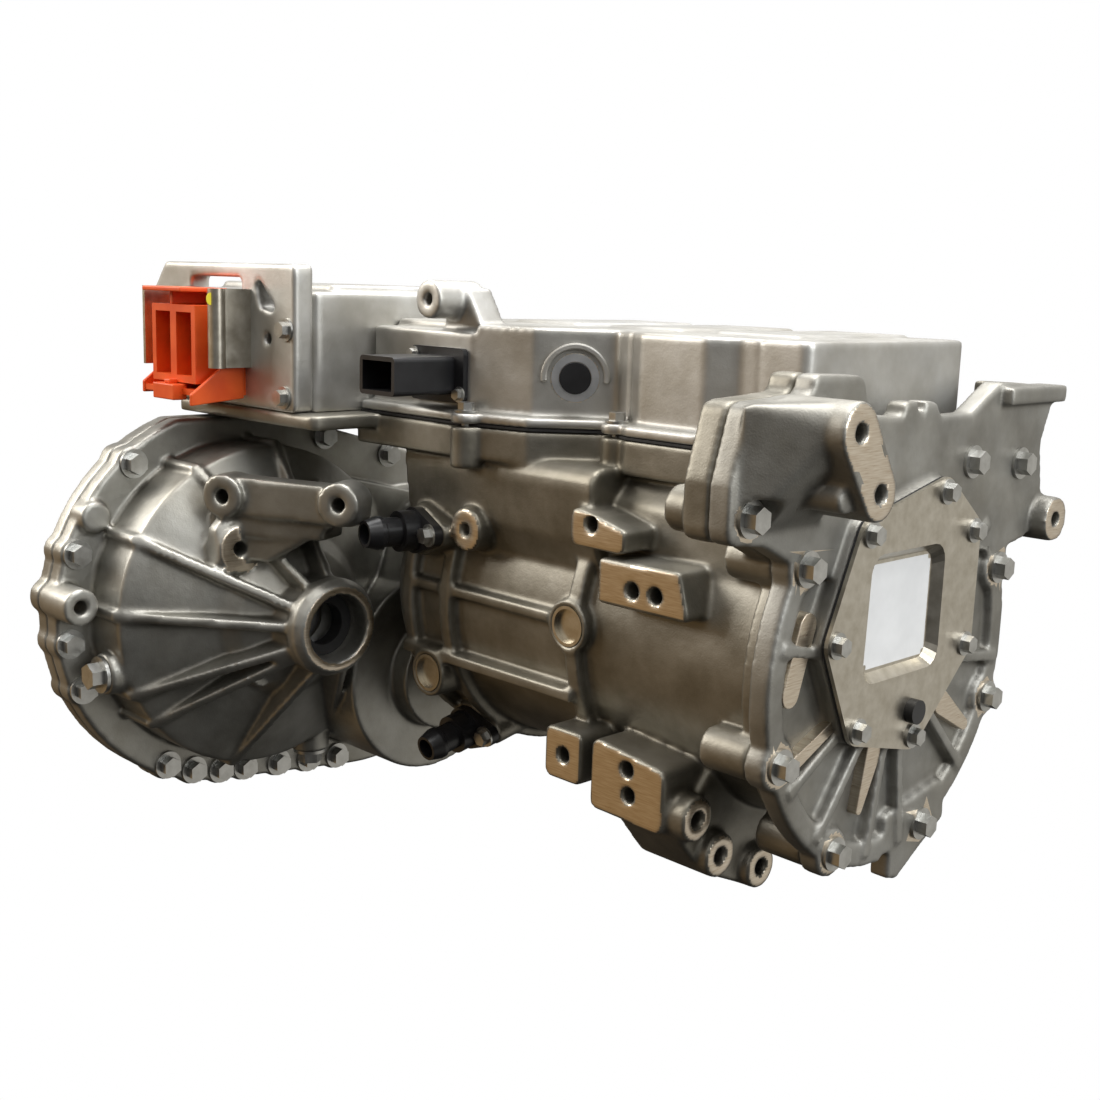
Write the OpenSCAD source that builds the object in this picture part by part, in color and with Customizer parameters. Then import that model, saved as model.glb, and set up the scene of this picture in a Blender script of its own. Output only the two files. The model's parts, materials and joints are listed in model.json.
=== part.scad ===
// Electric drive unit: motor, inverter and reduction gearbox with differential.
// Drawn in the motor's directions: +X along the motor axis towards the end cover, +Z up,
// with the motor axis at y = z = 0 and the end cover's outer face at x = 0.
// in_frame() then moves everything so that the origin is the mouth of the right output bore.

/* [Motor] */
// Outer diameter of the stator core
stator_d = 200; // [190:1:206]
// Length of the stator core
stator_l = 150; // [120:1:160]
// Bore of the stator core
stator_bore = 132; // [124:1:136]
// Slots in the stator core
slot_count = 36; // [24:6:42]
// Gap between rotor and stator
air_gap = 0.8; // [0.5:0.1:1.5]
// Wall of the housing barrel
barrel_wall = 10; // [8:0.5:12]
// Length of the housing barrel
barrel_l = 316; // [306:1:330]
// Wall between the motor and the gearbox
end_wall = 14; // [10:1:18]
// Diameter of the rotor shaft in its bearings
shaft_d = 40; // [35:1:42]
// Height of the ribs on the barrel
rib_h = 8; // [5:0.5:10]

/* [End cover] */
// Thickness of the end cover
cover_t = 14; // [12:0.5:18]
// Distance of the cover bolts outside the barrel wall
bolt_out = 12; // [11:0.5:14]
// Reach of the upper bracket in front of the cover
bracket_reach = 45; // [35:1:55]
// Height of the access rim above the cover face
rim_h = 6; // [4:0.5:10]
// Thickness of the access plate
plate_t = 2.5; // [1.5:0.5:4]
// Depth of the panel pressed into the access plate
panel_depth = 6; // [3:0.5:7]

/* [Gearbox] */
// Distance of the axle in front of the motor axis
axle_forward = 160; // [156:1:164]
// Drop of the axle below the motor axis
axle_drop = 25; // [20:1:30]
// Depth of the gearbox housing
gearbox_depth = 160; // [155:1:170]
// Depth of the gearbox cover
gear_cover_depth = 58; // [54:1:64]
// Wall of the gearbox castings
case_wall = 8; // [6:0.5:10]
// Thickness of the gearbox flanges
flange_t = 14; // [11:0.5:18]
// Outer diameter of the output nose
nose_d = 65; // [60:1:70]
// Bore of the output nose at its mouth
nose_bore = 48; // [44:1:52]
// Length of the gearbox from its split to the nose mouth
nose_reach = 145; // [142:1:150]

/* [Gears] */
// Teeth on the rotor's pinion
input_teeth = 26; // [24:1:27]
// Teeth on the large layshaft gear
lay_gear_teeth = 66; // [63:1:67]
// Teeth on the layshaft's pinion
lay_pinion_teeth = 26; // [24:1:28]
// Teeth on the ring gear
ring_teeth = 84; // [80:4:84]
// Module of the first gear pair
first_module = 2; // [1.9:0.05:2.05]
// Module of the final gear pair
final_module = 2.5; // [2.4:0.05:2.55]
// Play between meshing teeth
backlash = 0.4; // [0.2:0.05:0.6]
// Width of the first gear pair
first_w = 28; // [24:1:30]
// Width of the final gear pair
final_w = 36; // [32:1:38]

/* [Inverter] */
// Height of the inverter tray above the motor axis
tray_top = 124; // [122:1:128]
// Height of the inverter cover above the motor axis
cover_top = 189; // [184:1:196]
// Wall of the inverter cover
inv_wall = 4.5; // [3:0.5:6]
// Height of the high-voltage box above the motor axis
hv_top = 206; // [200:1:212]
// Height of the high-voltage frame above the motor axis
frame_top = 224; // [218:1:230]

/* [Connections] */
// Outer diameter of the coolant nozzles
nozzle_d = 20; // [16:1:24]
// Thread diameter of the large fixing holes
big_thread = 10; // [8:1:12]
// Thread diameter of the small fixing holes
small_thread = 8; // [6:1:10]
// Thread diameter of the housing bolts
bolt_d = 8; // [6:1:10]
// Thread diameter of the small screws
screw_d = 6; // [4:1:8]

/* [Fits] */
// Radial clearance of shafts that turn
running_gap = 0.05; // [0.02:0.01:0.1]
// Clearance of pieces that are fixed in place
slip_gap = 0.05; // [0.02:0.01:0.1]

/* [Hidden] */
$fn = 64;

// Colours
cast_grey = [0.62, 0.61, 0.57];
cast_dark = [0.50, 0.50, 0.48];
cast_bright = [0.74, 0.75, 0.75];
steel = [0.66, 0.67, 0.68];
orange = [0.85, 0.20, 0.05];
black = [0.05, 0.05, 0.06];
copper = [0.72, 0.43, 0.25];
lamination = [0.42, 0.43, 0.45];
green = [0.10, 0.32, 0.18];

// Cuts run this far past the face that they open
over = 1;

// Stations along the motor axis
joint_x = -cover_t;
barrel_end_x = joint_x - barrel_l;
split_x = barrel_end_x - gearbox_depth;
gear_cover_x = split_x - gear_cover_depth;
nose_x = split_x + nose_reach;
turn_l = 30;
stator_x1 = barrel_end_x + end_wall + turn_l + 31;
stator_x2 = stator_x1 + stator_l;
final_x = split_x + 14;
first_x = final_x + final_w + 14;
lay_wall_x = first_x + first_w + 4;

// Motor radii
barrel_r = stator_d / 2 + barrel_wall;
end_bolt_r = barrel_r + bolt_out;
rotor_r = stator_bore / 2 - air_gap;
slot_w = 6;
slot_r1 = stator_bore / 2 + 4;
slot_r2 = stator_d / 2 - 9;
slot_gap = 0.2;

// Bearings
bearing_w = 16;
rotor_bearing_d = shaft_d + 40;
hub_wall = 10;
hub_l = 46;
resolver_d = 76;
resolver_bore = 40;
resolver_shaft_d = 30;
lay_shaft_d = 35;
lay_bearing_d = 72;
tip_d = 30;
tip_bearing_d = 62;
bearing_a_x = joint_x - hub_l;
bearing_b_x = barrel_end_x + 2;
cover_bearing_x = split_x - 2 - bearing_w;

// Gear geometry: the layshaft lies below the line from the motor to the axle
axle = [-axle_forward, -axle_drop];
first_a = first_module * (input_teeth + lay_gear_teeth) / 2;
final_a = final_module * (lay_pinion_teeth + ring_teeth) / 2;
axle_line = norm(axle);
axle_angle = atan2(axle[1], axle[0]);
lay_turn = acos((first_a * first_a + axle_line * axle_line - final_a * final_a) / (2 * first_a * axle_line));
lay_angle = axle_angle + lay_turn;
lay = first_a * [cos(lay_angle), sin(lay_angle)];
final_angle = atan2(axle[1] - lay[1], axle[0] - lay[0]);
ring_r = final_module * ring_teeth / 2;
lay_gear_r = first_module * lay_gear_teeth / 2;
input_r = first_module * input_teeth / 2;
lay_pinion_r = final_module * lay_pinion_teeth / 2;
tooth_room = 6;
root_depth = 1.3;
ring_room_r = ring_r + tooth_room;
lay_room_r = lay_gear_r + tooth_room;
bell_r = ring_room_r + case_wall;
lay_drum_r = lay_room_r + case_wall;
motor_room_r = 40;
motor_drum_r = motor_room_r + case_wall;
pressure = 20;
input_bore = 2 * (input_r - root_depth * first_module - 4);
lay_seat_d = 48;

// Differential
bevel_side_teeth = 16;
bevel_pinion_teeth = 10;
bevel_cone = 44;
bevel_face = 14;
bevel_tip = 3.6;
bevel_root = 5;
bevel_fill = 0.4;
side_cone = atan(bevel_side_teeth / bevel_pinion_teeth);
side_h = bevel_cone * cos(side_cone);
pinion_h = bevel_cone * sin(side_cone);
pin_d = 18;
pinion_boss_d = 30;
spline_d = 27;
hub_d = 40;
journal_d = 54;
diff_bearing_d = 84;
cavity_d = 100;
cavity_half = 29;
diff_case_d = 126;
ring_seat_d = 150;
ring_flange_d = 190;
ring_flange_t = 10;
ring_bolt_n = 10;
ring_bolt_r = (ring_seat_d + ring_flange_d) / 4;
diff_x = final_x + final_w / 2 + 6;
cap_x = diff_x - cavity_half + 3;
case_end = 8;
right_bearing_x = diff_x + cavity_half + case_end + 3;
seal_w = 12;
seal_in = 18;
seal_d = nose_bore - 3;
seal_bore = 30;
shaft_room_d = 40;
ring_flange_x = final_x + final_w - 8;
pin_half = ring_seat_d / 2 - 1;
pinion_back = cavity_d / 2 - 2.5;
side_hub_l = right_bearing_x + bearing_w - 1 - diff_x;
bell_x = ring_flange_x + 12;
neck_r = diff_bearing_d / 2 + case_wall;
neck_x = right_bearing_x + bearing_w + 4;

// End cover, in (y, z)
bolt_angles = [146, 21, -21, -70, -117, -160];
outer_bolts = [[-155, 101], [69, 116], [131, 111]];
end_bolts = concat([for (a = bolt_angles) end_bolt_r * [cos(a), sin(a)]], outer_bolts);
lobe_d = 30;
head_room_d = 2.6 * bolt_d + 2;
border = 16;
web_drop = 6;
access_holes = [[-55, 84], [-82, 24], [-55, -31], [6, -46], [60, 3], [60, 75], [24, 102]];
access_lug = 9;
access_inset = 8;
gasket_t = 1.5;
plate_x = rim_h + gasket_t;
panel_pts = [[-55, -6], [29, -6], [29, 72], [-52, 72]];
panel_slope = 6;
thin = 0.02;
panel_corner = 12;
plug_at = [2, -29.5];
plug_d = 11;
bracket_pts = [[-172, 88], [-140, 84], [-90, 60], [40, 60], [120, 55], [150, 60], [168, 84], [160, 122],
    [176, 160], [98, 164], [64, 146], [28, 146], [24, 155], [-12, 156], [-14, 147], [-48, 150], [-56, 172],
    [-104, 174], [-106, 163], [-160, 160], [-172, 120]];
window_at = [-138, 145];
window_size = [24, 19];
bone_holes = [[-126, 148], [-104, 115]];
bone_r = 16;
arm_hole = [166, 72];
foot_pts = [[0, -100], [0, -141], [20, -147], [46, -132], [74, -118], [66, -90]];
rib_angles = [-150, -128, -100, -82, -45, -8, 38, 168];
rib_w = 7;

// Gearbox outline, in (y, z)
rim_r = bell_r + 26;
lay_rim_r = lay_drum_r + 20;
motor_rim_r = 76;
rim_flat_z = tray_top - 12;
rim_inset = 9;
rim_angles = [128, 160, 187, 202, 243, 253, 263];
lay_bolt_angles = [-60, -20];
motor_bolt_angles = [-15, 35];
bottom_turn = edge_turn(axle, rim_r, lay, lay_rim_r);
side_turn = edge_turn(lay, lay_rim_r, [0, 0], motor_rim_r);
top_turn = edge_turn([0, 0], motor_rim_r, axle, rim_r);
bottom_shares = [0.16, 0.4, 0.62, 0.84];
top_shares = [0.3, 0.75];
// Point on a straight edge of the flange, at share s of its length
function edge_bolt(s, turn, at, r) =
    (1 - s) * (axle + (rim_r - rim_inset) * [cos(turn), sin(turn)])
    + s * (at + (r - rim_inset) * [cos(turn), sin(turn)]);
rim_bolts = concat(
    [for (a = rim_angles) axle + (rim_r - rim_inset) * [cos(a), sin(a)]],
    [for (s = bottom_shares) edge_bolt(s, bottom_turn, lay, lay_rim_r)],
    [for (s = top_shares) edge_bolt(s, top_turn, [0, 0], motor_rim_r)],
    [for (a = lay_bolt_angles) lay + (lay_rim_r - rim_inset) * [cos(a), sin(a)]],
    [for (a = motor_bolt_angles) (motor_rim_r - rim_inset) * [cos(a), sin(a)]]
);
rim_boss_d = 24;
dowel_at = [axle + (rim_r - rim_inset) * [cos(148), sin(148)], (motor_rim_r - rim_inset) * [cos(5), sin(5)]];
dowel_d = 10;
dowel_l = 20;
bell_ribs = [85, 118, 150, 176, 205, 218, 256, 300];
ear_at = axle + (rim_r - 6) * [cos(174), sin(174)];
adapter_x = barrel_end_x;
adapter_r = barrel_r - 2;
adapter_bolt_r = adapter_r - 9.5;
adapter_bolt_angles = [20, -35, -80, -150, 160];
bar_base = [-404, -214, 66];
bar_turn = 30;
bar_l = 86;
bar_boss_d = 30;
arm_boss_x = -400;
arm_boss_at = [-207, 29];
tube_x = -394;
tube_at = [-190, -62];
fill_at = [-452, -60];
fill_y = -284;
drain_at = [-452, -110];
drain_z = -150;
oil_boss_d = 30;
oil_plug_d = 10;

// Inverter plan, in (x, y)
wall_pts = [[-366, -118], [-262, -118], [-214, -106], [-176, -68], [-142, -85], [-92, -85], [-76, -72],
    [-28, -72], [-28, 100], [-366, 100]];
tray_lip = 9;
tray_t = 22;
pocket_depth = 9;
inv_bolts = [[-256, -125], [-160, -84], [-62, -80], [-40, 108], [-110, 108], [-190, 108], [-270, 108],
    [-352, 108]];
inv_boss_d = 20;
inv_flange_t = 7;
seal_t = 1.5;
cover_z = tray_top + seal_t;
wall_mid = (wall_pts[2] + wall_pts[3]) / 2;
vent_z = 158;
vent_turn = -45;
vent_d = 20;
vent_stem_d = 14;
vent_ring_d = 31;
lift_at = [-285, 204];
lift_d = 25;
lift_y = -135;
block_drop = 5;
block_x = -258;

// High-voltage box
hv_x1 = -522;
hv_x2 = wall_pts[0][0] - 1.5;
hv_y1 = -166;
hv_y2 = -12;
frame_t = 16;
frame_y = hv_y1 - frame_t;
hv_wall = 4;
hv_lid_t = 5;
hv_front_t = 14;
hv_shelf_t = 10;
plug_x = -466;
plug_w = 58;
plug_z1 = 140;
plug_z2 = 194;
plug_reach = 34;
contact_x = [-14, 14];
contact_t = 5;
lug_holes = [[-551, 186], [-400, 173]];

// Signal connector, centre in (x, z)
signal_at = [-290, 155];
signal_size = [36, 25];
signal_reach = 54;
signal_wall = 3;

// Front of the motor housing, in (x, z)
pad_y = -125;
pad_depth = 24;
pad_holes = [[-141, 75], [-106, 40], [-88, 40], [-158, -75], [-104, -70], [-102, -86]];
foot_holes = [[-108, -93], [-84, -122], [-42, -141]];
foot_x = -60;
foot_boss_d = 28;
inlet_base = [-307, -120, 47];
inlet_turn = 80;
inlet_face = [-259, 54];
inlet_face_y = -122;
outlet_base = [-307, -70, -104];
outlet_turn = 90;
outlet_tilt = 12;
plug_seats = [[-165, 6], [-300, -54]];
plug_seat_d = 26;
nozzle_seat = 14;
nozzle_l = 43;
screw_off = 23;
nozzle_flange_t = 6;
groove_x = [6, 9];
groove_depth = 1.5;
plug_face_y = -barrel_r - rib_h - 1;
core_plug_t = 6;

// Rotor and inverter contents
rotor_shaft_d = 52;
shaft_tip_x = cover_bearing_x + 5;
resolver_x = -40;
resolver_w = 12;
busbar_y = [-29, -5, 19];
busbar_w = 10;
busbar_t = 4;
busbar_z = 78;
busbar_x = -52;
module_x1 = -240;
module_x2 = -120;
module_top = 140;
board_z = 160;
pocket_z = tray_top - pocket_depth;
ring_rib_w = 12;
ring_ribs = [-290, -168];
front_ribs = [4, -44];

function unit(v) = v / norm(v);
function turn_of(v) = atan2(v[1], v[0]);
function short_turn(a) = a > 180 ? a - 360 : a < -180 ? a + 360 : a;

// Points of the arc that rounds the corner at q between p and s
function corner(p, q, s, r, n) =
    let (
        u = unit(p - q),
        v = unit(s - q),
        half = acos(u * v) / 2,
        t = min(r / tan(half), 0.45 * norm(p - q), 0.45 * norm(s - q)),
        c = q + unit(u + v) * t / cos(half),
        rr = t * tan(half),
        a0 = turn_of(q + u * t - c),
        sweep = short_turn(turn_of(q + v * t - c) - a0)
    )
    [for (i = [0:n]) c + rr * [cos(a0 + sweep * i / n), sin(a0 + sweep * i / n)]];

// Outline with every corner rounded
function rounded(pts, r, n = 4) =
    let (m = len(pts))
    [for (i = [0:m - 1]) each corner(pts[(i + m - 1) % m], pts[i], pts[(i + 1) % m], r, n)];

// Anticlockwise outline grown by d
function normal(a, b) = [b[1] - a[1], a[0] - b[0]] / norm(b - a);
function grown(pts, d) =
    let (m = len(pts))
    [for (i = [0:m - 1])
        let (
            n1 = normal(pts[(i + m - 1) % m], pts[i]),
            n2 = normal(pts[i], pts[(i + 1) % m])
        )
        pts[i] + d * (n1 + n2) / (1 + n1 * n2)];
function rectangle(low, high) = [low, [high[0], low[1]], high, [low[0], high[1]]];

// One tooth as (radius, angle) points
function arc_angle(w, r) = w / r * 180 / PI;
function tooth(r, m, play) =
    let (
        half = PI * m / 4 - play / 2,
        tip_half = half - m * tan(pressure),
        root_half = half + root_depth * m * tan(pressure) * 0.7,
        root_r = r - root_depth * m
    )
    [
        [root_r, -arc_angle(root_half, root_r)],
        [r, -arc_angle(half, r)],
        [r + m, -arc_angle(tip_half, r + m)],
        [r + m, arc_angle(tip_half, r + m)],
        [r, arc_angle(half, r)],
        [root_r, arc_angle(root_half, root_r)]
    ];
// Spur gear outline with a tooth centred on its first axis
function gear_outline(teeth, m, play) =
    [for (i = [0:teeth - 1])
        each [for (p = tooth(teeth * m / 2, m, play))
            p[0] * [cos(p[1] + i * 360 / teeth), sin(p[1] + i * 360 / teeth)]]];
// Bevel gear outline at its large end, with a tooth centred on its first axis
function bevel_outline(teeth, cone) =
    let (
        h = bevel_cone * cos(cone),
        r = h * tan(cone),
        tip = h * tan(cone + bevel_tip),
        root = h * tan(cone - bevel_root),
        half = 180 / teeth * bevel_fill,
        lean = half * 0.4
    )
    [for (i = [0:teeth - 1])
        each [for (p = [[root, -half - lean], [r, -half], [tip, -half + lean],
                        [tip, half - lean], [r, half], [root, half + lean]])
            p[0] * [cos(p[1] + i * 360 / teeth), sin(p[1] + i * 360 / teeth)]]];

// Moves the motor frame to the output bore
module in_frame() {
    translate([-nose_x, axle_forward, axle_drop])
        children();
}

// Extrusions of (y, z), (x, z) and (x, y) outlines
module along_x(x0, x1) {
    translate([x0, 0, 0])
        rotate([90, 0, 90])
            linear_extrude(x1 - x0)
                children();
}
module along_y(y0, y1) {
    translate([0, y1, 0])
        rotate([90, 0, 0])
            linear_extrude(y1 - y0)
                children();
}
module along_z(z0, z1) {
    translate([0, 0, z0])
        linear_extrude(z1 - z0)
            children();
}
module rod_x(x0, x1, d, at = [0, 0]) {
    translate([x0, at[0], at[1]])
        rotate([0, 90, 0])
            cylinder(h = x1 - x0, d = d);
}
module rod_y(y0, y1, d, at) {
    translate([at[0], y1, at[1]])
        rotate([90, 0, 0])
            cylinder(h = y1 - y0, d = d);
}
module rod_z(z0, z1, d, at) {
    translate([at[0], at[1], z0])
        cylinder(h = z1 - z0, d = d);
}
module block(low, high) {
    translate(low)
        cube(high - low);
}
// Body of revolution about a line along X, from (radius, x) points
module revolve_x(pts, at = [0, 0]) {
    translate([0, at[0], at[1]])
        rotate([0, 90, 0])
            rotate_extrude()
                polygon(pts);
}
// Outer tangents of two circles
function belt(a, ra, b, rb) =
    let (
        t = turn_of(b - a),
        k = acos((ra - rb) / norm(b - a))
    )
    [
        a + ra * [cos(t + k), sin(t + k)],
        a + ra * [cos(t - k), sin(t - k)],
        b + rb * [cos(t - k), sin(t - k)],
        b + rb * [cos(t + k), sin(t + k)]
    ];
// Two discs joined by their outer tangents
module arm_x(x0, x1, a, ra, b, rb) {
    rod_x(x0, x1, 2 * ra, a);
    rod_x(x0, x1, 2 * rb, b);
    along_x(x0, x1)
        polygon(belt(a, ra, b, rb));
}
// Hex flange bolt along X with its head towards +X and its seat at x = 0
module flange_bolt(d, shank) {
    rod_x(-shank, 0, d - 2 * slip_gap);
    rod_x(0, 0.25 * d, 2.6 * d);
    rotate([0, 90, 0])
        cylinder(h = 1.1 * d, d = 1.85 * d, $fn = 6);
}
module bearing(x0, d_in, d_out, at = [0, 0]) {
    w = bearing_w;
    mid_r = (d_in + d_out) / 4;
    lip = 0.15 * (d_out - d_in) / 2;
    step = 0.12 * w;
    r_in = d_in / 2 + running_gap;
    r_out = d_out / 2;
    revolve_x([
        [r_in, x0], [mid_r - lip, x0], [mid_r - lip, x0 + step], [mid_r + lip, x0 + step],
        [mid_r + lip, x0], [r_out, x0], [r_out, x0 + w], [mid_r + lip, x0 + w],
        [mid_r + lip, x0 + w - step], [mid_r - lip, x0 + w - step], [mid_r - lip, x0 + w], [r_in, x0 + w]
    ], at);
}
// Seat for a bearing or ring of diameter d
module seat_x(x0, x1, d, at = [0, 0]) {
    rod_x(x0, x1, d + 2 * slip_gap, at);
}
module inlet_frame() {
    translate(inlet_base)
        rotate([0, 0, inlet_turn])
            rotate([-90, 0, 0])
                children();
}
module outlet_frame() {
    translate(outlet_base)
        rotate([outlet_tilt, 0, 0])
            rotate([0, 0, outlet_turn])
                rotate([-90, 0, 0])
                    children();
}
module vent_frame() {
    translate([wall_mid[0], wall_mid[1], vent_z])
        rotate([0, 0, vent_turn])
            children();
}

// Motor housing
module motor_housing() {
    color(cast_grey) in_frame() difference() {
        union() {
            housing_barrel();
            housing_tray();
            housing_pads();
            housing_feet();
            housing_coolant_bosses();
        }
        housing_bores();
    }
}
module housing_barrel() {
    rod_x(barrel_end_x, joint_x, 2 * barrel_r);
    for (x = concat([barrel_end_x], ring_ribs))
        rod_x(x, x + ring_rib_w, 2 * (barrel_r + rib_h));
    rod_x(joint_x - ring_rib_w, joint_x, 2 * (end_bolt_r - 2));
    for (p = end_bolts)
        rod_x(joint_x - 34, joint_x, lobe_d - 4, p);
    along_x(joint_x - 18, joint_x)
        polygon(rounded(bracket_pts, 8));
    for (z = front_ribs)
        block([barrel_end_x, -barrel_r - rib_h + 2, z], [ring_ribs[1] + 6, -barrel_r * 0.8, z + 8]);
    rod_x(barrel_end_x, bearing_b_x + bearing_w + 2, rotor_bearing_d + 2 * hub_wall);
}
// Shoulders that carry the inverter tray on the barrel
module housing_tray() {
    under = tray_top - tray_t + 4;
    along_x(barrel_end_x, ring_ribs[1] + 18)
        polygon(rounded([[-98, 30], [104, 20], [100, under], [-118, under], [-112, 60]], 12));
    along_x(ring_ribs[1] + 17, joint_x)
        polygon(rounded([[-98, 30], [104, 20], [100, under], [-76, under], [-96, 84]], 12));
    along_z(tray_top - tray_t, tray_top)
        polygon(rounded(grown(wall_pts, tray_lip), 8));
    for (p = inv_bolts)
        rod_z(tray_top - tray_t - 6, tray_top, inv_boss_d, p);
    along_z(tray_top - hv_shelf_t, tray_top)
        polygon(rounded(rectangle([hv_x1, frame_y], [wall_pts[0][0] + 20, hv_y2]), 8));
    for (y = [-116, -40])
        along_y(y, y + 12)
            polygon([[wall_pts[0][0] + 2, tray_top - tray_t + 1], [wall_pts[0][0] + 2, tray_top - 2],
                [-440, tray_top - 2]]);
}
// Machined pads for the half-shaft bearing bracket
module housing_pads() {
    along_y(pad_y, -70)
        polygon(rounded([[-158, 60], [-114, 60], [-112, 74], [-136, 80], [-158, 84]], 4));
    along_y(pad_y, -70)
        polygon(rounded([[-134, 28], [-62, 28], [-70, 57], [-134, 56]], 3));
    along_y(pad_y, -60)
        polygon(rounded(rectangle([-174, -92], [-142, -58]), 5));
    along_y(pad_y, -60)
        polygon(rounded([[-134, -102], [-74, -104], [-74, -64], [-134, -56]], 6));
}
// Lower mounting flange with threaded bosses facing the end cover
module housing_feet() {
    r = foot_boss_d / 2;
    for (i = [0, 1])
        arm_x(foot_x - 58, foot_x - 8, foot_holes[i], r, foot_holes[i + 1], r);
    along_x(foot_x - 58, foot_x - 8)
        polygon([foot_holes[0], foot_holes[1], foot_holes[2], [-20, -100], [-80, -60]]);
    for (p = foot_holes)
        rod_x(foot_x - 40, foot_x, foot_boss_d, p);
}
module housing_coolant_bosses() {
    rod_y(inlet_face_y, -60, 30, inlet_face);
    inlet_frame() nozzle_boss();
    outlet_frame() nozzle_boss();
    for (p = plug_seats)
        rod_y(-barrel_r - rib_h - 1, -70, plug_seat_d + 8, p);
}
module nozzle_boss() {
    arm_x(0, 50, [0, 0], nozzle_d / 2 + 8, [0, -screw_off], screw_d / 2 + 6);
}
module nozzle_bores() {
    seat_x(-over, nozzle_seat + 2, nozzle_d);
    rod_x(-over, 12, screw_d, [0, -screw_off]);
    arm_x(-30, 0, [0, 0], nozzle_d / 2 + 9, [0, -screw_off], screw_d / 2 + 7);
}
module housing_bores() {
    seat_x(barrel_end_x + end_wall + 10, joint_x + over, stator_d);
    seat_x(bearing_b_x, barrel_end_x + end_wall + 10 + over, rotor_bearing_d);
    rod_x(barrel_end_x - over, barrel_end_x + 5, rotor_bearing_d - 12);
    along_z(tray_top - pocket_depth, tray_top + over)
        polygon(rounded(grown(wall_pts, -inv_wall - 2), 6));
    block([-62, -40, 80], [-34, 40, tray_top]);
    block([joint_x - 60, -90, tray_top], [joint_x + over, 120, tray_top + 100]);
    for (p = end_bolts)
        rod_x(joint_x - 26, joint_x + over, bolt_d, p);
    for (p = inv_bolts)
        rod_z(tray_top - 18, tray_top + over, screw_d, p);
    for (p = pad_holes)
        rod_y(pad_y - over, pad_y + pad_depth, big_thread, p);
    for (p = foot_holes)
        rod_x(foot_x - 28, foot_x + over, big_thread, p);
    rod_y(inlet_face_y - over, inlet_face_y + 8, small_thread, inlet_face);
    for (p = plug_seats)
        rod_y(-barrel_r - rib_h - 2, -barrel_r - rib_h + 5, plug_seat_d, p);
    inlet_frame() nozzle_bores();
    outlet_frame() nozzle_bores();
    for (a = adapter_bolt_angles)
        rotate([a, 0, 0])
            rod_x(adapter_x - over, adapter_x + 16, bolt_d, [adapter_bolt_r, 0]);
    along_x(joint_x - 19, joint_x + over)
        translate(window_at)
            square(window_size, center = true);
}

// End cover
module end_cover() {
    color(cast_grey) in_frame() difference() {
        union() {
            end_cover_disc();
            end_cover_bracket();
            end_cover_arm();
            rod_x(joint_x - hub_l, joint_x + over, rotor_bearing_d + 2 * hub_wall);
            along_x(joint_x, rim_h)
                polygon(rounded(grown(access_holes, access_lug), access_lug + 3));
        }
        end_cover_bores();
    }
}
module end_cover_disc() {
    outer = 2 * (end_bolt_r + 7);
    rod_x(joint_x, -web_drop, outer);
    difference() {
        rod_x(joint_x, 0, outer);
        rod_x(-web_drop - over, over, outer - 2 * border);
    }
    for (p = end_bolts)
        rod_x(joint_x, 0, lobe_d, p);
    for (a = rib_angles)
        rotate([a, 0, 0])
            block([joint_x + 2, 30, -rib_w / 2], [2, end_bolt_r, rib_w / 2]);
    along_x(joint_x, 0)
        polygon(rounded(foot_pts, 5));
}
// Upper plate with the bone-shaped bracket face
module end_cover_bracket() {
    along_x(joint_x, 0)
        polygon(rounded(bracket_pts, 8));
    arm_x(-over, bracket_reach, bone_holes[0], bone_r, bone_holes[1], bone_r - 1);
    hull() {
        along_x(-over, 0)
            polygon(rectangle([-166, 92], [-92, 160]));
        along_x(bracket_reach - 14, bracket_reach - 10)
            translate(bone_holes[0])
                circle(r = bone_r - 1, $fn = 32);
    }
    rod_x(-over, bracket_reach - 8, 16, bone_holes[1] - [18, 2]);
}
module end_cover_arm() {
    rod_x(joint_x, 12, 30, arm_hole);
    block([joint_x, 100, 150], [8, 174, 161]);
}
module end_cover_bores() {
    seat_x(bearing_a_x - over, bearing_a_x + bearing_w, rotor_bearing_d);
    seat_x(bearing_a_x + bearing_w - over, -7, resolver_d);
    along_x(-8, rim_h + over)
        polygon(rounded(grown(access_holes, -access_inset), 8));
    for (p = end_bolts) {
        rod_x(joint_x - over, over, bolt_d + 2 * slip_gap, p);
        rod_x(0, bracket_reach, head_room_d, p);
    }
    for (p = access_holes)
        rod_x(rim_h - 12, rim_h + over, screw_d, p);
    for (p = bone_holes)
        rod_x(bracket_reach - 24, bracket_reach + over, big_thread, p);
    rod_x(-12, 12 + over, big_thread, arm_hole);
    along_x(joint_x - over, over)
        translate(window_at)
            square(window_size, center = true);
    along_x(joint_x - over, over) {
        translate([6, 157])
            square([8, 14], center = true);
        translate([4, -136])
            square([10, 20], center = true);
    }
    rod_x(joint_x - over, over, 44, [-146, 54]);
}
module end_cover_bolts() {
    color(steel) in_frame()
        for (p = end_bolts)
            translate([0, p[0], p[1]])
                flange_bolt(bolt_d, cover_t + 22);
}

// Access cover: a pressed plate with a panel pressed in for the label
module access_cover() {
    color(steel) in_frame() difference() {
        union() {
            along_x(plate_x, plate_x + plate_t)
                polygon(rounded(grown(access_holes, access_lug), access_lug + 3));
            panel_solid(plate_t, plate_x + plate_t / 2, plate_x - panel_depth);
        }
        panel_solid(0, plate_x + plate_t + over, plate_x + plate_t - panel_depth);
        for (p = access_holes)
            rod_x(plate_x - over, plate_x + plate_t + over, screw_d + 2 * slip_gap, p);
        seat_x(plate_x - over, plate_x + plate_t + over, plug_d, plug_at);
    }
}
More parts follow.
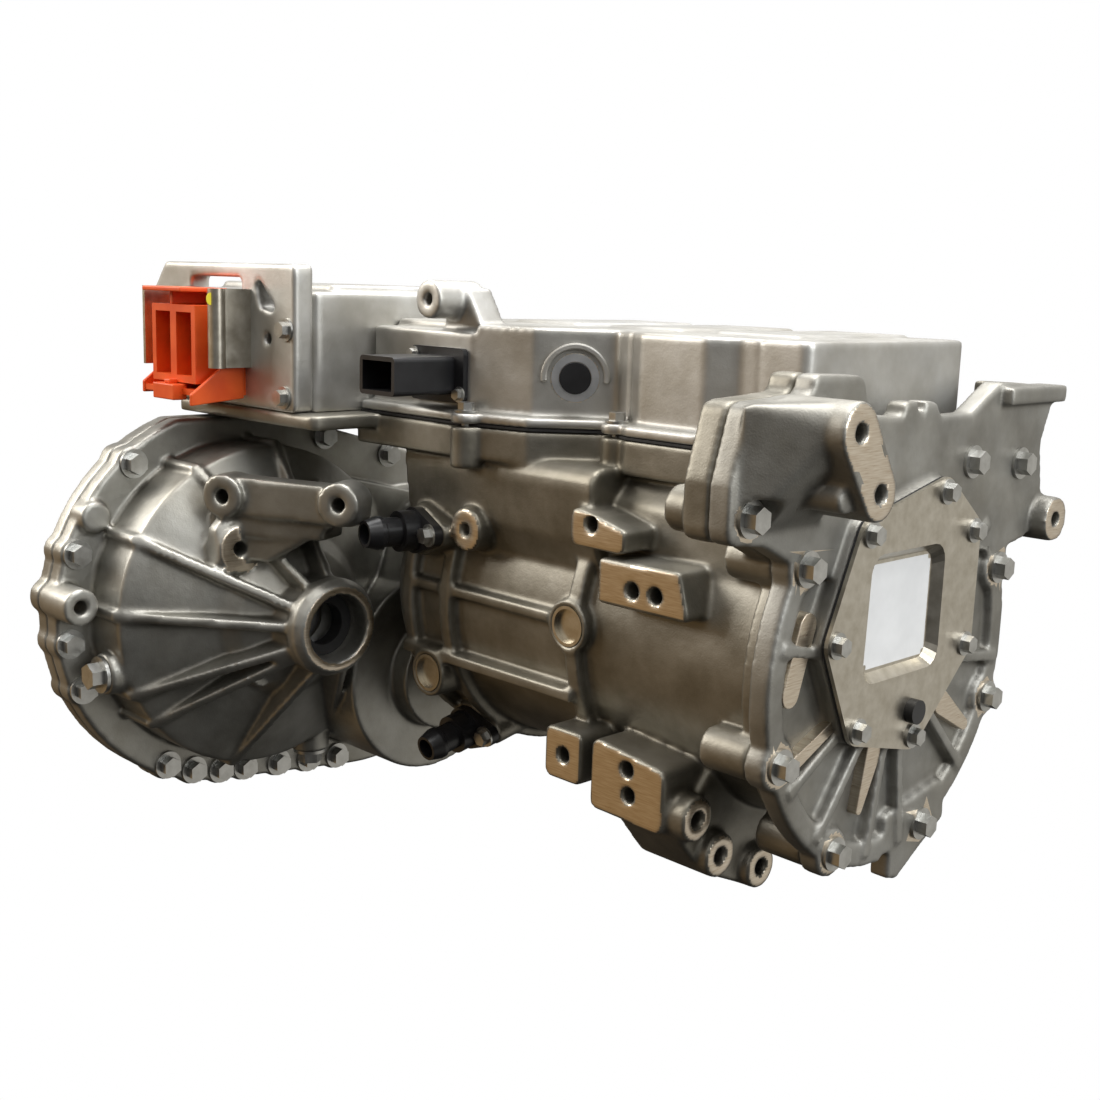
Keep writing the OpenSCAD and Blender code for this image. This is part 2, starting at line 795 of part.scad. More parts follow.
// Tapered block from the panel's mouth at one x to its floor at another
module panel_solid(extra, mouth_x, floor_x) {
    hull() {
        along_x(mouth_x - thin, mouth_x)
            polygon(rounded(grown(panel_pts, extra), panel_corner));
        along_x(floor_x, floor_x + thin)
            polygon(rounded(grown(panel_pts, extra - panel_slope), panel_corner - panel_slope / 2));
    }
}
module access_gasket() {
    color(black) in_frame() difference() {
        along_x(rim_h, plate_x)
            polygon(rounded(grown(access_holes, access_lug), access_lug + 3));
        along_x(rim_h - over, plate_x + over)
            polygon(rounded(grown(access_holes, -access_inset), 8));
        for (p = access_holes)
            rod_x(rim_h - over, plate_x + over, screw_d + 2 * slip_gap, p);
    }
}
module access_screws() {
    color(steel) in_frame()
        for (p = access_holes)
            translate([plate_x + plate_t, p[0], p[1]])
                flange_bolt(screw_d, 12);
}
module access_plug() {
    color(black) in_frame()
        translate([0, plug_at[0], plug_at[1]]) {
            rod_x(plate_x - 4, plate_x + plate_t, plug_d);
            rod_x(plate_x + plate_t, plate_x + plate_t + 6, plug_d + 4);
        }
}

// Inverter cover
module inverter_cover() {
    color(cast_bright) in_frame() difference() {
        union() {
            cover_body();
            cover_lift_boss();
        }
        along_z(cover_z - over, cover_top - block_drop - inv_wall)
            polygon(rounded(grown(wall_pts, -inv_wall), 5));
        hv_room();
        for (p = inv_bolts) {
            rod_z(cover_z - over, cover_top - 30, screw_d + 2 * slip_gap, p);
            rod_z(cover_z + inv_flange_t, cover_top + 3, inv_boss_d - 3, p);
        }
        vent_frame() {
            rod_x(-20, 20, vent_stem_d + 2 * slip_gap);
            rod_x(-0.6, 20, vent_ring_d);
        }
        rod_y(lift_y - over, lift_y + 23, small_thread, lift_at);
        along_y(wall_pts[0][1] - over, wall_pts[0][1] + 12)
            translate(signal_at)
                square(signal_size - [8, 8], center = true);
    }
}
// Box with its flange, raised panels and the lower block that carries the signal connector
module cover_body() {
    difference() {
        union() {
            along_z(cover_z, cover_z + inv_flange_t)
                polygon(rounded(grown(wall_pts, tray_lip), 8));
            for (p = inv_bolts)
                rod_z(cover_z, cover_z + inv_flange_t, inv_boss_d, p);
            along_z(cover_z, cover_top)
                polygon(rounded(wall_pts, 7));
            for (x = [-300, -210, -120])
                block([x, -40, cover_top - over], [x + 60, 80, cover_top + 2]);
        }
        block([wall_pts[0][0] - 30, -160, cover_top - block_drop], [block_x, -94, cover_top + over]);
    }
}
module cover_lift_boss() {
    rod_y(lift_y, -94, lift_d, lift_at);
    along_y(-112, -90)
        polygon([[lift_at[0] - 10, cover_top - 12], [lift_at[0] + 34, cover_top - 12],
            [lift_at[0] + 12, lift_at[1] + 8], [lift_at[0] - 10, lift_at[1]]]);
}
// Room for the high-voltage box beside the cover's flange
module hv_room() {
    block([wall_pts[0][0] - 30, -200, tray_top - over], [wall_pts[0][0], hv_y2 + 5, cover_top + 60]);
}
module inverter_seal() {
    color(black) in_frame() difference() {
        along_z(tray_top, cover_z)
            polygon(rounded(grown(wall_pts, tray_lip), 8));
        hv_room();
        along_z(tray_top - over, cover_z + over)
            polygon(rounded(grown(wall_pts, -inv_wall), 5));
        for (p = inv_bolts)
            rod_z(tray_top - over, cover_z + over, screw_d + 2 * slip_gap, p);
    }
}
module inverter_bolts() {
    color(steel) in_frame()
        for (p = inv_bolts)
            translate([p[0], p[1], cover_z + inv_flange_t])
                rotate([0, -90, 0])
                    flange_bolt(screw_d, 22);
}
module vent_valve() {
    color(black) in_frame() vent_frame() {
        rod_x(-12, -0.6, vent_stem_d);
        rod_x(-0.6, 6, vent_d);
    }
}

// High-voltage box, its front frame and its connector
module hv_box() {
    color(cast_bright) in_frame() difference() {
        union() {
            along_z(tray_top, hv_top)
                polygon(rounded(rectangle([hv_x1, hv_y1], [hv_x2, hv_y2]), 6));
            along_z(hv_top, hv_top + hv_lid_t)
                polygon(rounded(rectangle([hv_x1 + 6, hv_y1 + 20], [hv_x2 - 6, hv_y2 - 4]), 6));
        }
        block([hv_x1 + hv_wall, hv_y1 + hv_front_t, tray_top + hv_wall],
            [hv_x2 - hv_wall, hv_y2 - hv_wall, hv_top - hv_wall]);
        block([plug_x - plug_w / 2 - slip_gap, hv_y1 - over, plug_z1 - slip_gap],
            [plug_x + plug_w / 2 + slip_gap, hv_y1 + hv_front_t + over, plug_z2 + slip_gap]);
        for (p = frame_screws())
            rod_y(hv_y1 - over, hv_y1 + 12, screw_d, p);
    }
}
function frame_screws() = [[hv_x1 + 8, tray_top + 10], [hv_x2 - 12, tray_top + 10], [hv_x2 - 9, hv_top - 26]];
module hv_frame() {
    color(cast_bright) in_frame() difference() {
        along_y(frame_y, hv_y1)
            polygon(rounded([[hv_x1, tray_top], [hv_x2, tray_top], [hv_x2, frame_top], [hv_x1 - 14, frame_top],
                [-564, 192], [-556, 174], [hv_x1, 164]], 5));
        along_y(frame_y - over, hv_y1 + over) {
            polygon(rounded(rectangle([plug_x - plug_w / 2 - 4, plug_z1 - 4], [plug_x + plug_w / 2 + 4,
                frame_top - 10]), 4));
            polygon(rounded([[-410, 194], [-386, 190], [-416, frame_top - 6]], 3));
        }
        for (p = lug_holes)
            rod_y(frame_y - over, hv_y1 + over, small_thread, p);
        for (p = frame_screws())
            rod_y(frame_y - over, hv_y1 + over, screw_d + 2 * slip_gap, p);
    }
}
module hv_connector() {
    front = frame_y - plug_reach;
    half = plug_w / 2;
    color(orange) in_frame() difference() {
        union() {
            block([plug_x - half, front, plug_z1], [plug_x + half, hv_y1 + hv_front_t, plug_z2]);
            along_y(frame_y - 6, frame_y)
                polygon(rounded(rectangle([plug_x - half - 10, plug_z1 - 8], [plug_x + half + 10, plug_z2 + 8]), 6));
            block([plug_x - half - 10, front - 2, plug_z1 - 8], [plug_x + half + 10, frame_y, plug_z1 - 4]);
        }
        for (dx = contact_x) {
            block([plug_x + dx - 10, front - over, plug_z1 + 5], [plug_x + dx + 10, frame_y + 6, plug_z2 - 5]);
            block([plug_x + dx - contact_t / 2 - slip_gap, front, plug_z1 + 18],
                [plug_x + dx + contact_t / 2 + slip_gap, hv_y1 + hv_front_t + over, plug_z2 - 18]);
        }
    }
}
module hv_contacts() {
    color(copper) in_frame()
        for (dx = contact_x)
            block([plug_x + dx - contact_t / 2, frame_y - plug_reach + 8, plug_z1 + 18 + slip_gap],
                [plug_x + dx + contact_t / 2, hv_y1 + 30, plug_z2 - 18 - slip_gap]);
}
module hv_guides() {
    x1 = plug_x - plug_w / 2 - 14;
    x2 = plug_x + plug_w / 2 + 14;
    color(steel) in_frame() {
        block([x1 - 3, frame_y - plug_reach + 2, 150], [x1, frame_y, plug_z2 + 12]);
        block([x2, frame_y - plug_reach + 8, 152], [x2 + 3, frame_y, plug_z2 + 12]);
        rod_z(152, plug_z2 + 12, 12, [x2 + 1, frame_y - plug_reach + 8]);
    }
}
module hv_screws() {
    color(steel) in_frame()
        for (p = frame_screws())
            translate([p[0], frame_y, p[1]])
                rotate([0, 0, -90])
                    flange_bolt(screw_d, frame_t + 10);
}

// Signal connector
module signal_connector() {
    y0 = wall_pts[0][1];
    color(black) in_frame() difference() {
        union() {
            along_y(y0 - signal_reach, y0)
                translate(signal_at)
                    polygon(rounded(rectangle(-signal_size / 2, signal_size / 2), 3));
            along_y(y0 - 4, y0)
                translate(signal_at)
                    polygon(rounded(rectangle([-27, -18], [27, 18]), 4));
        }
        along_y(y0 - signal_reach - over, y0 - 18)
            translate(signal_at)
                square(signal_size - [2 * signal_wall, 2 * signal_wall], center = true);
        for (p = signal_screw_at())
            rod_y(y0 - 5, y0 + over, 4 + 2 * slip_gap, p);
        for (p = signal_pin_at())
            rod_y(y0 - 19, y0 + over, 1.6 + 2 * slip_gap, p);
    }
}
function signal_screw_at() = [signal_at + [23.6, -12], signal_at + [-23.6, 12]];
function signal_pin_at() = [for (i = [-4:4], j = [-1, 1]) signal_at + [i * 3, j * 4]];
module signal_pins() {
    y0 = wall_pts[0][1];
    color(copper) in_frame()
        for (p = signal_pin_at())
            rod_y(y0 - 32, y0 + 10, 1.6, p);
}
module signal_screws() {
    color(steel) in_frame()
        for (p = signal_screw_at())
            translate([p[0], wall_pts[0][1] - 4, p[1]])
                rotate([0, 0, -90])
                    flange_bolt(4, 4);
}

// Coolant nozzles, pushed into the housing and held by a screw
module nozzle_body() {
    end_r = nozzle_d / 2;
    difference() {
        union() {
            rod_x(0, nozzle_seat, nozzle_d);
            arm_x(-nozzle_flange_t, 0, [0, 0], end_r + 6, [0, -screw_off], screw_d / 2 + 5);
            rod_x(-18, -nozzle_flange_t, nozzle_d + 8);
            rod_x(-nozzle_l + 8, -18, nozzle_d);
            revolve_x([[0, -nozzle_l], [end_r - 1, -nozzle_l], [end_r + 1.5, -nozzle_l + 9],
                [end_r + 1.5, -nozzle_l + 12], [end_r - 1, -nozzle_l + 14], [0, -nozzle_l + 14]]);
        }
        rod_x(-nozzle_l - over, nozzle_seat + over, nozzle_d - 6);
        rod_x(-nozzle_flange_t - over, over, screw_d + 2 * slip_gap, [0, -screw_off]);
        difference() {
            rod_x(groove_x[0], groove_x[1], nozzle_d + over);
            rod_x(groove_x[0] - over, groove_x[1] + over, nozzle_d - 2 * groove_depth);
        }
    }
}
module coolant_inlet() {
    color(black) in_frame() inlet_frame() nozzle_body();
}
module coolant_outlet() {
    color(black) in_frame() outlet_frame() nozzle_body();
}
module coolant_screws() {
    color(steel) in_frame() {
        inlet_frame() nozzle_screw();
        outlet_frame() nozzle_screw();
    }
}
module nozzle_screw() {
    translate([-nozzle_flange_t, 0, -screw_off])
        rotate([0, 0, 180])
            flange_bolt(screw_d, nozzle_flange_t + 8);
}
module coolant_seals() {
    color(black) in_frame() {
        inlet_frame() nozzle_seal();
        outlet_frame() nozzle_seal();
    }
}
module nozzle_seal() {
    difference() {
        rod_x(groove_x[0], groove_x[1], nozzle_d);
        rod_x(groove_x[0] - over, groove_x[1] + over, nozzle_d - groove_depth * 2 + 2 * slip_gap);
    }
}
// Pressed cups that close the core holes of the water jacket
module core_plugs() {
    color(steel) in_frame()
        for (p = plug_seats)
            difference() {
                rod_y(plug_face_y + 1, plug_face_y + core_plug_t, plug_seat_d, p);
                rod_y(plug_face_y, plug_face_y + core_plug_t - 1.5, plug_seat_d - 4, p);
            }
}

// Gearbox housing
module gearbox_housing() {
    color(cast_dark) in_frame() difference() {
        union() {
            rim(split_x, split_x + flange_t);
            gearbox_bell();
            gearbox_lay_drum();
            gearbox_adapter();
            gearbox_mount_bar();
            gearbox_bosses();
        }
        gearbox_chambers();
        gearbox_holes();
        tray_room();
    }
}
// Flange outline shared by the housing and its cover
function edge_turn(a, ra, b, rb) = turn_of(b - a) - acos((ra - rb) / norm(b - a));
function arc_pts(c, r, a0, a1) =
    let (
        sweep = (a1 - a0 + 720) % 360,
        n = ceil(sweep / 6)
    )
    [for (i = [0:n]) c + r * [cos(a0 + sweep * i / n), sin(a0 + sweep * i / n)]];
rim_pts = concat(
    arc_pts(axle, rim_r, top_turn, bottom_turn),
    arc_pts(lay, lay_rim_r, bottom_turn, side_turn),
    arc_pts([0, 0], motor_rim_r, side_turn, top_turn)
);
module rim(x0, x1) {
    along_x(x0, x1)
        polygon([for (p = rim_pts) [p[0], min(p[1], rim_flat_z)]]);
    for (p = rim_bolts)
        rod_x(x0, x1, rim_boss_d, p);
}
module gearbox_bell() {
    revolve_x([
        [0, split_x], [bell_r, split_x], [bell_r, bell_x], [neck_r + 10, neck_x - 12], [neck_r, neck_x],
        [nose_d / 2, neck_x + 12], [nose_d / 2, nose_x - 2], [nose_d / 2 - 2, nose_x], [0, nose_x]
    ], axle);
    rod_x(nose_x - 14, nose_x - 5, nose_d + 5, axle);
    for (a = bell_ribs)
        translate([0, axle[0], axle[1]])
            rotate([a, 0, 0])
                along_z(-rib_w / 2, rib_w / 2)
                    polygon([[split_x + 2, 30], [split_x + 2, bell_r + 4], [bell_x - 2, bell_r + 4],
                        [nose_x - 16, nose_d / 2 + 4], [nose_x - 16, 30]]);
}
module gearbox_lay_drum() {
    rod_x(split_x, lay_wall_x + 6, 2 * lay_drum_r, lay);
    rod_x(lay_wall_x, lay_wall_x + bearing_w + 8, lay_bearing_d + 2 * case_wall, lay);
}
// Hollow cone that carries the gearbox on the motor
module gearbox_adapter() {
    revolve_x([
        [0, split_x], [motor_drum_r, split_x], [motor_drum_r, adapter_x - 66], [adapter_r, adapter_x - flange_t],
        [adapter_r, adapter_x], [0, adapter_x]
    ]);
    along_x(split_x, bell_x)
        polygon(belt(axle, bell_r - 14, [0, 0], motor_drum_r - 5));
    along_x(split_x, lay_wall_x)
        polygon(belt(lay, lay_drum_r - 6, [0, 0], motor_drum_r - 5));
}
// Front bar with two fixing faces, the web that ties it to the bell and the arm boss below it
module bar_frame() {
    translate(bar_base)
        rotate([0, 0, bar_turn])
            children();
}
module gearbox_mount_bar() {
    bar_frame() {
        along_y(0, 22)
            polygon(rounded([[-16, -12], [bar_l + 14, -16], [bar_l + 14, 10], [-16, 14]], 8));
        along_y(5, 15)
            polygon([[-14, -46], [30, -46], [bar_l, -12], [bar_l, 0], [-14, 0]]);
        for (x = [0, bar_l])
            rod_y(-6, 20, bar_boss_d, [x, 0]);
    }
    along_z(38, 66)
        polygon([[-434, -206], [-404, -212], [-345, -174], [-356, -150], [-400, -120], [-426, -120]]);
    along_x(arm_boss_x - 12, arm_boss_x)
        polygon(rounded([[-224, 14], [-150, -20], [-150, 56], [-196, 66], [-224, 44]], 8));
    rod_x(arm_boss_x - 14, arm_boss_x + 4, 34, arm_boss_at);
}
module gearbox_bosses() {
    rod_x(split_x, split_x + 40, 26, ear_at);
    rod_x(split_x + 10, tube_x, 22, tube_at);
    for (p = dowel_at)
        rod_x(split_x, split_x + 20, dowel_d + 12, p);
    rod_y(fill_y, -200, oil_boss_d, fill_at);
    rod_z(drain_z, -90, oil_boss_d, drain_at);
}
module gearbox_chambers() {
    revolve_x([
        [0, split_x - over], [ring_room_r, split_x - over], [ring_room_r, bell_x - 4], [ring_room_r - 14, bell_x + 8],
        [diff_case_d / 2 + 5, right_bearing_x - 9], [journal_d / 2 + 8, right_bearing_x], [0, right_bearing_x]
    ], axle);
    seat_x(right_bearing_x - over, right_bearing_x + bearing_w, diff_bearing_d, axle);
    rod_x(right_bearing_x, nose_x, shaft_room_d, axle);
    seat_x(nose_x - seal_in, nose_x + over, nose_bore, axle);
    seat_x(nose_x - seal_in - seal_w, nose_x - seal_in + over, seal_d, axle);
    rod_x(split_x - over, lay_wall_x, 2 * lay_room_r, lay);
    seat_x(lay_wall_x - over, lay_wall_x + bearing_w, lay_bearing_d, lay);
    revolve_x([
        [0, split_x - over], [motor_room_r, split_x - over], [motor_room_r, adapter_x - 62],
        [adapter_r - 22, adapter_x - 18], [adapter_r - 22, adapter_x + over], [0, adapter_x + over]
    ]);
}
module gearbox_holes() {
    for (p = rim_bolts)
        rod_x(split_x - over, split_x + flange_t + over, bolt_d + 2 * slip_gap, p);
    for (p = rim_bolts)
        rod_x(split_x + flange_t, split_x + flange_t + 16, head_room_d, p);
    for (p = dowel_at)
        seat_x(split_x - over, split_x + dowel_l / 2, dowel_d, p);
    for (x = [0, bar_l])
        bar_frame() rod_y(-6 - over, 16, big_thread, [x, 0]);
    rod_x(arm_boss_x - 20, arm_boss_x + 4 + over, big_thread, arm_boss_at);
    rod_x(split_x - over, split_x + 40 + over, big_thread, ear_at);
    rod_x(tube_x - 20, tube_x + over, small_thread, tube_at);
    for (a = adapter_bolt_angles)
        rotate([a, 0, 0])
            adapter_bolt_room();
    rod_y(fill_y - over, -200, oil_plug_d, fill_at);
    rod_z(drain_z - over, -90, oil_plug_d, drain_at);
}
module adapter_bolt_room() {
    rod_x(adapter_x - flange_t - over, adapter_x + over, bolt_d + 2 * slip_gap, [adapter_bolt_r, 0]);
    rod_x(adapter_x - flange_t - 40, adapter_x - flange_t, head_room_d, [adapter_bolt_r, 0]);
}
// Room under the inverter tray and its shelf
module tray_room() {
    block([wall_pts[0][0] - tray_lip - 4, -300, tray_top - tray_t - 2], [0, 300, 300]);
    block([split_x - over, -300, rim_flat_z], [0, 300, 300]);
}

// Gearbox cover
module gearbox_cover() {
    color(cast_dark) in_frame() difference() {
        union() {
            difference() {
                gear_cover_shell();
                gear_cover_hollow();
            }
            for (s = [[diff_bearing_d, axle], [lay_bearing_d, lay], [tip_bearing_d, [0, 0]]])
                rod_x(cover_bearing_x - 6, split_x, s[0] + 2 * case_wall, s[1]);
        }
        for (s = [[diff_bearing_d, axle], [lay_bearing_d, lay], [tip_bearing_d, [0, 0]]])
            seat_x(cover_bearing_x, split_x + over, s[0], s[1]);
        rod_x(gear_cover_x - over, split_x, shaft_room_d, axle);
        seat_x(gear_cover_x - over, gear_cover_x + seal_in, nose_bore, axle);
        seat_x(gear_cover_x + seal_in - over, gear_cover_x + seal_in + seal_w, seal_d, axle);
        for (p = rim_bolts)
            rod_x(split_x - 11, split_x + over, bolt_d, p);
        for (p = dowel_at)
            seat_x(split_x - dowel_l / 2, split_x + over, dowel_d, p);
        rod_x(split_x - flange_t - over, split_x + over, big_thread, ear_at);
    }
}
module gear_cover_shell() {
    rim(split_x - flange_t, split_x);
    rod_x(split_x - flange_t, split_x, 26, ear_at);
    revolve_x([
        [0, gear_cover_x], [nose_d / 2 - 2, gear_cover_x], [nose_d / 2, gear_cover_x + 2],
        [nose_d / 2 + 4, gear_cover_x + 18], [diff_bearing_d / 2 + case_wall, gear_cover_x + 24],
        [bell_r - 20, split_x - flange_t - 8], [bell_r, split_x - flange_t], [0, split_x - flange_t]
    ], axle);
    rod_x(cover_bearing_x - 8, split_x - flange_t, lay_bearing_d + 2 * case_wall + 6, lay);
    rod_x(cover_bearing_x - 8, split_x - flange_t, tip_bearing_d + 2 * case_wall + 6, [0, 0]);
    for (a = bell_ribs)
        translate([0, axle[0], axle[1]])
            rotate([a, 0, 0])
                along_z(-rib_w / 2, rib_w / 2)
                    polygon([[split_x - 2, 30], [gear_cover_x + 14, 30], [gear_cover_x + 14, nose_d / 2 + 4],
                        [split_x - flange_t - 6, bell_r], [split_x - 2, bell_r]]);
}
module gear_cover_hollow() {
    x0 = split_x - flange_t + 6;
    rod_x(x0, split_x + over, 2 * ring_room_r, axle);
    rod_x(x0, split_x + over, 2 * lay_room_r, lay);
    rod_x(x0, split_x + over, 2 * motor_room_r, [0, 0]);
}
module gearbox_bolts() {
    color(steel) in_frame() {
        for (p = rim_bolts)
            translate([split_x + flange_t, p[0], p[1]])
                flange_bolt(bolt_d, flange_t + 10);
        for (a = adapter_bolt_angles)
            rotate([a, 0, 0])
                translate([adapter_x - flange_t, adapter_bolt_r, 0])
                    rotate([0, 0, 180])
                        flange_bolt(bolt_d, flange_t + 14);
    }
}
module gearbox_dowels() {
    color(steel) in_frame()
        for (p = dowel_at)
            rod_x(split_x - dowel_l / 2, split_x + dowel_l / 2, dowel_d, p);
}
// Fill and drain plugs
module oil_plugs() {
    color(steel) in_frame() {
        translate([fill_at[0], fill_y, fill_at[1]])
            rotate([0, 0, -90])
                flange_bolt(oil_plug_d, 18);
        translate([drain_at[0], drain_at[1], drain_z])
            rotate([0, 90, 0])
                flange_bolt(oil_plug_d, 18);
    }
}

// Motor
module stator_core() {
    color(lamination) in_frame() difference() {
        rod_x(stator_x1, stator_x2, stator_d);
        rod_x(stator_x1 - over, stator_x2 + over, stator_bore);
        for (i = [0:slot_count - 1])
            rotate([i * 360 / slot_count, 0, 0])
                block([stator_x1 - over, slot_r1, -slot_w / 2], [stator_x2 + over, slot_r2, slot_w / 2]);
    }
}
module stator_winding() {
    color(copper) in_frame() {
        end_turns(stator_x1 - turn_l, stator_x1);
        end_turns(stator_x2, stator_x2 + turn_l);
        for (i = [0:slot_count - 1])
            rotate([i * 360 / slot_count, 0, 0])
                block([stator_x1 - over, slot_r1 + slot_gap, -slot_w / 2 + slot_gap],
                    [stator_x2 + over, slot_r2 - slot_gap, slot_w / 2 - slot_gap]);
    }
}
module end_turns(x0, x1) {
    revolve_x([[slot_r1, x0], [slot_r2 - 4, x0], [slot_r2, x0 + 4], [slot_r2, x1 - 4], [slot_r2 - 4, x1],
        [slot_r1, x1]]);
}
module rotor_shaft() {
    core_r = rotor_shaft_d / 2;
    color(steel) in_frame() revolve_x([
        [0, shaft_tip_x], [tip_d / 2, shaft_tip_x], [tip_d / 2, first_x - 4], [input_bore / 2, first_x - 4],
        [input_bore / 2, first_x + first_w], [shaft_d / 2, first_x + first_w],
        [shaft_d / 2, bearing_b_x + bearing_w + 2], [core_r, bearing_b_x + bearing_w + 2],
        [core_r, bearing_a_x - 2], [shaft_d / 2, bearing_a_x - 2], [shaft_d / 2, bearing_a_x + bearing_w + 1],
        [resolver_shaft_d / 2, bearing_a_x + bearing_w + 1], [resolver_shaft_d / 2, joint_x + 2], [0, joint_x + 2]
    ]);
}
module rotor_core() {
    color(lamination) in_frame() difference() {
        rod_x(stator_x1, stator_x2, 2 * rotor_r);
        rod_x(stator_x1 - over, stator_x2 + over, rotor_shaft_d + 2 * slip_gap);
    }
}
module rotor_bearings() {
    color(steel) in_frame() {
        bearing(bearing_a_x, shaft_d, rotor_bearing_d);
        bearing(bearing_b_x, shaft_d, rotor_bearing_d);
        bearing(cover_bearing_x, tip_d, tip_bearing_d);
    }
}
module resolver_stator() {
    color(lamination) in_frame() difference() {
        rod_x(resolver_x, resolver_x + resolver_w, resolver_d);
        rod_x(resolver_x - over, resolver_x + resolver_w + over, resolver_bore);
    }
}
module resolver_rotor() {
    color(steel) in_frame() difference() {
        rod_x(resolver_x, resolver_x + resolver_w, resolver_bore - 2 * air_gap);
        rod_x(resolver_x - over, resolver_x + resolver_w + over, resolver_shaft_d + 2 * slip_gap);
    }
}

// Inverter contents
module phase_busbars() {
    color(copper) in_frame()
        for (y = busbar_y) {
            block([stator_x2 + turn_l, y, busbar_z], [busbar_x + busbar_t, y + busbar_w, busbar_z + busbar_t]);
            block([busbar_x, y, busbar_z], [busbar_x + busbar_t, y + busbar_w, module_top - 4]);
            block([module_x2, y, module_top - 8], [busbar_x + busbar_t, y + busbar_w, module_top - 4]);
        }
}
module power_module() {
    color(black) in_frame() {
        block([module_x1, -50, pocket_z], [module_x2, 60, module_top]);
        for (x = [module_x1 + 10, module_x2 - 10], y = [-40, 50])
            rod_z(module_top - over, board_z, 10, [x, y]);
    }
}
module link_capacitor() {
    color(black) in_frame()
        along_z(pocket_z, board_z + 5)
            polygon(rounded(rectangle([-345, -90], [module_x1 - 12, 70]), 8));
}
module control_board() {
    color(green) in_frame() {
        block([module_x1, -50, board_z], [module_x2, 60, board_z + 2]);
        block([module_x1 + 30, -20, board_z + 2], [module_x1 + 64, 14, board_z + 6]);
    }
}

// Gears
module input_pinion() {
    color(steel) in_frame() difference() {
        spur_gear(input_teeth, first_module, first_x, first_w, [0, 0], lay_angle);
        rod_x(first_x - over, first_x + first_w + over, input_bore + 2 * slip_gap);
    }
}
// Spur gear along X with a tooth at the angle given
module spur_gear(teeth, m, x, w, at, angle) {
    translate([0, at[0], at[1]])
        rotate([angle, 0, 0])
            along_x(x, x + w)
                polygon(gear_outline(teeth, m, backlash));
}
module layshaft() {
    lay_r = lay_shaft_d / 2;
    color(steel) in_frame() {
        revolve_x([
            [0, cover_bearing_x + 1], [lay_r, cover_bearing_x + 1], [lay_r, split_x], [lay_seat_d / 2, split_x],
            [lay_seat_d / 2, first_x + first_w], [lay_r + 2, first_x + first_w], [lay_r + 2, lay_wall_x - 1],
            [lay_r, lay_wall_x - 1], [lay_r, lay_wall_x + bearing_w - 1], [0, lay_wall_x + bearing_w - 1]
        ], lay);
        spur_gear(lay_pinion_teeth, final_module, final_x, final_w, lay, final_angle);
    }
}
module layshaft_gear() {
    color(steel) in_frame() difference() {
        spur_gear(lay_gear_teeth, first_module, first_x, first_w, lay, lay_angle + 180 + 180 / lay_gear_teeth);
        rod_x(first_x - over, first_x + first_w + over, lay_seat_d + 2 * slip_gap, lay);
    }
}
module layshaft_bearings() {
    color(steel) in_frame() {
        bearing(cover_bearing_x, lay_shaft_d, lay_bearing_d, lay);
        bearing(lay_wall_x, lay_shaft_d, lay_bearing_d, lay);
    }
}
module ring_gear() {
    color(steel) in_frame() difference() {
        spur_gear(ring_teeth, final_module, final_x, final_w, axle, final_angle + 180 + 180 / ring_teeth);
        rod_x(final_x - over, final_x + final_w + over, ring_seat_d + 2 * slip_gap, axle);
        rod_x(ring_flange_x, final_x + final_w + over, ring_flange_d + 2 * slip_gap, axle);
        ring_bolt_places() rod_x(ring_flange_x - 16, ring_flange_x + over, screw_d);
    }
}
module ring_bolt_places() {
    translate([0, axle[0], axle[1]])
        for (i = [0:ring_bolt_n - 1])
            rotate([i * 360 / ring_bolt_n, 0, 0])
                translate([0, ring_bolt_r, 0])
                    children();
}
module ring_bolts() {
    color(steel) in_frame()
        ring_bolt_places() {
            rod_x(ring_flange_x - 14, ring_flange_x + ring_flange_t, screw_d - 2 * slip_gap);
            rod_x(ring_flange_x + ring_flange_t, ring_flange_x + ring_flange_t + 4, 1.7 * screw_d);
        }
}
module differential_case() {
    right_x = diff_x + cavity_half;
    seat_r = ring_seat_d / 2;
    body_r = diff_case_d / 2;
    color(cast_dark) in_frame() difference() {
        revolve_x([
            [0, cap_x], [seat_r, cap_x], [seat_r, ring_flange_x], [ring_flange_d / 2, ring_flange_x],
            [ring_flange_d / 2, ring_flange_x + ring_flange_t], [body_r + 4, ring_flange_x + ring_flange_t],
            [body_r, right_x - 2], [journal_d / 2 + 4, right_x + case_end + 2], [journal_d / 2, right_x + case_end + 2],
            [journal_d / 2, right_bearing_x + bearing_w - 1], [0, right_bearing_x + bearing_w - 1]
        ], axle);
        rod_x(cap_x - over, right_x, cavity_d, axle);
        rod_x(right_x - over, right_bearing_x + bearing_w, hub_d + 2 * running_gap, axle);
        rod_z(axle[1] - seat_r - over, axle[1] + seat_r + over, pin_d + 2 * slip_gap, [diff_x, axle[0]]);
        ring_bolt_places() rod_x(ring_flange_x - over, ring_flange_x + ring_flange_t + over, screw_d + 2 * slip_gap);
    }
}
module differential_cap() {
    color(cast_dark) in_frame() difference() {
        revolve_x([
            [0, cover_bearing_x + 1], [journal_d / 2, cover_bearing_x + 1], [journal_d / 2, cap_x - case_end - 2],
            [ring_seat_d / 2, cap_x - case_end + 2], [ring_seat_d / 2, cap_x], [cavity_d / 2 - slip_gap, cap_x],
            [cavity_d / 2 - slip_gap, diff_x - cavity_half], [0, diff_x - cavity_half]
        ], axle);
        rod_x(cover_bearing_x, diff_x, hub_d + 2 * running_gap, axle);
    }
}
module cross_pin() {
    color(steel) in_frame()
        rod_z(axle[1] - pin_half, axle[1] + pin_half, pin_d, [diff_x, axle[0]]);
}
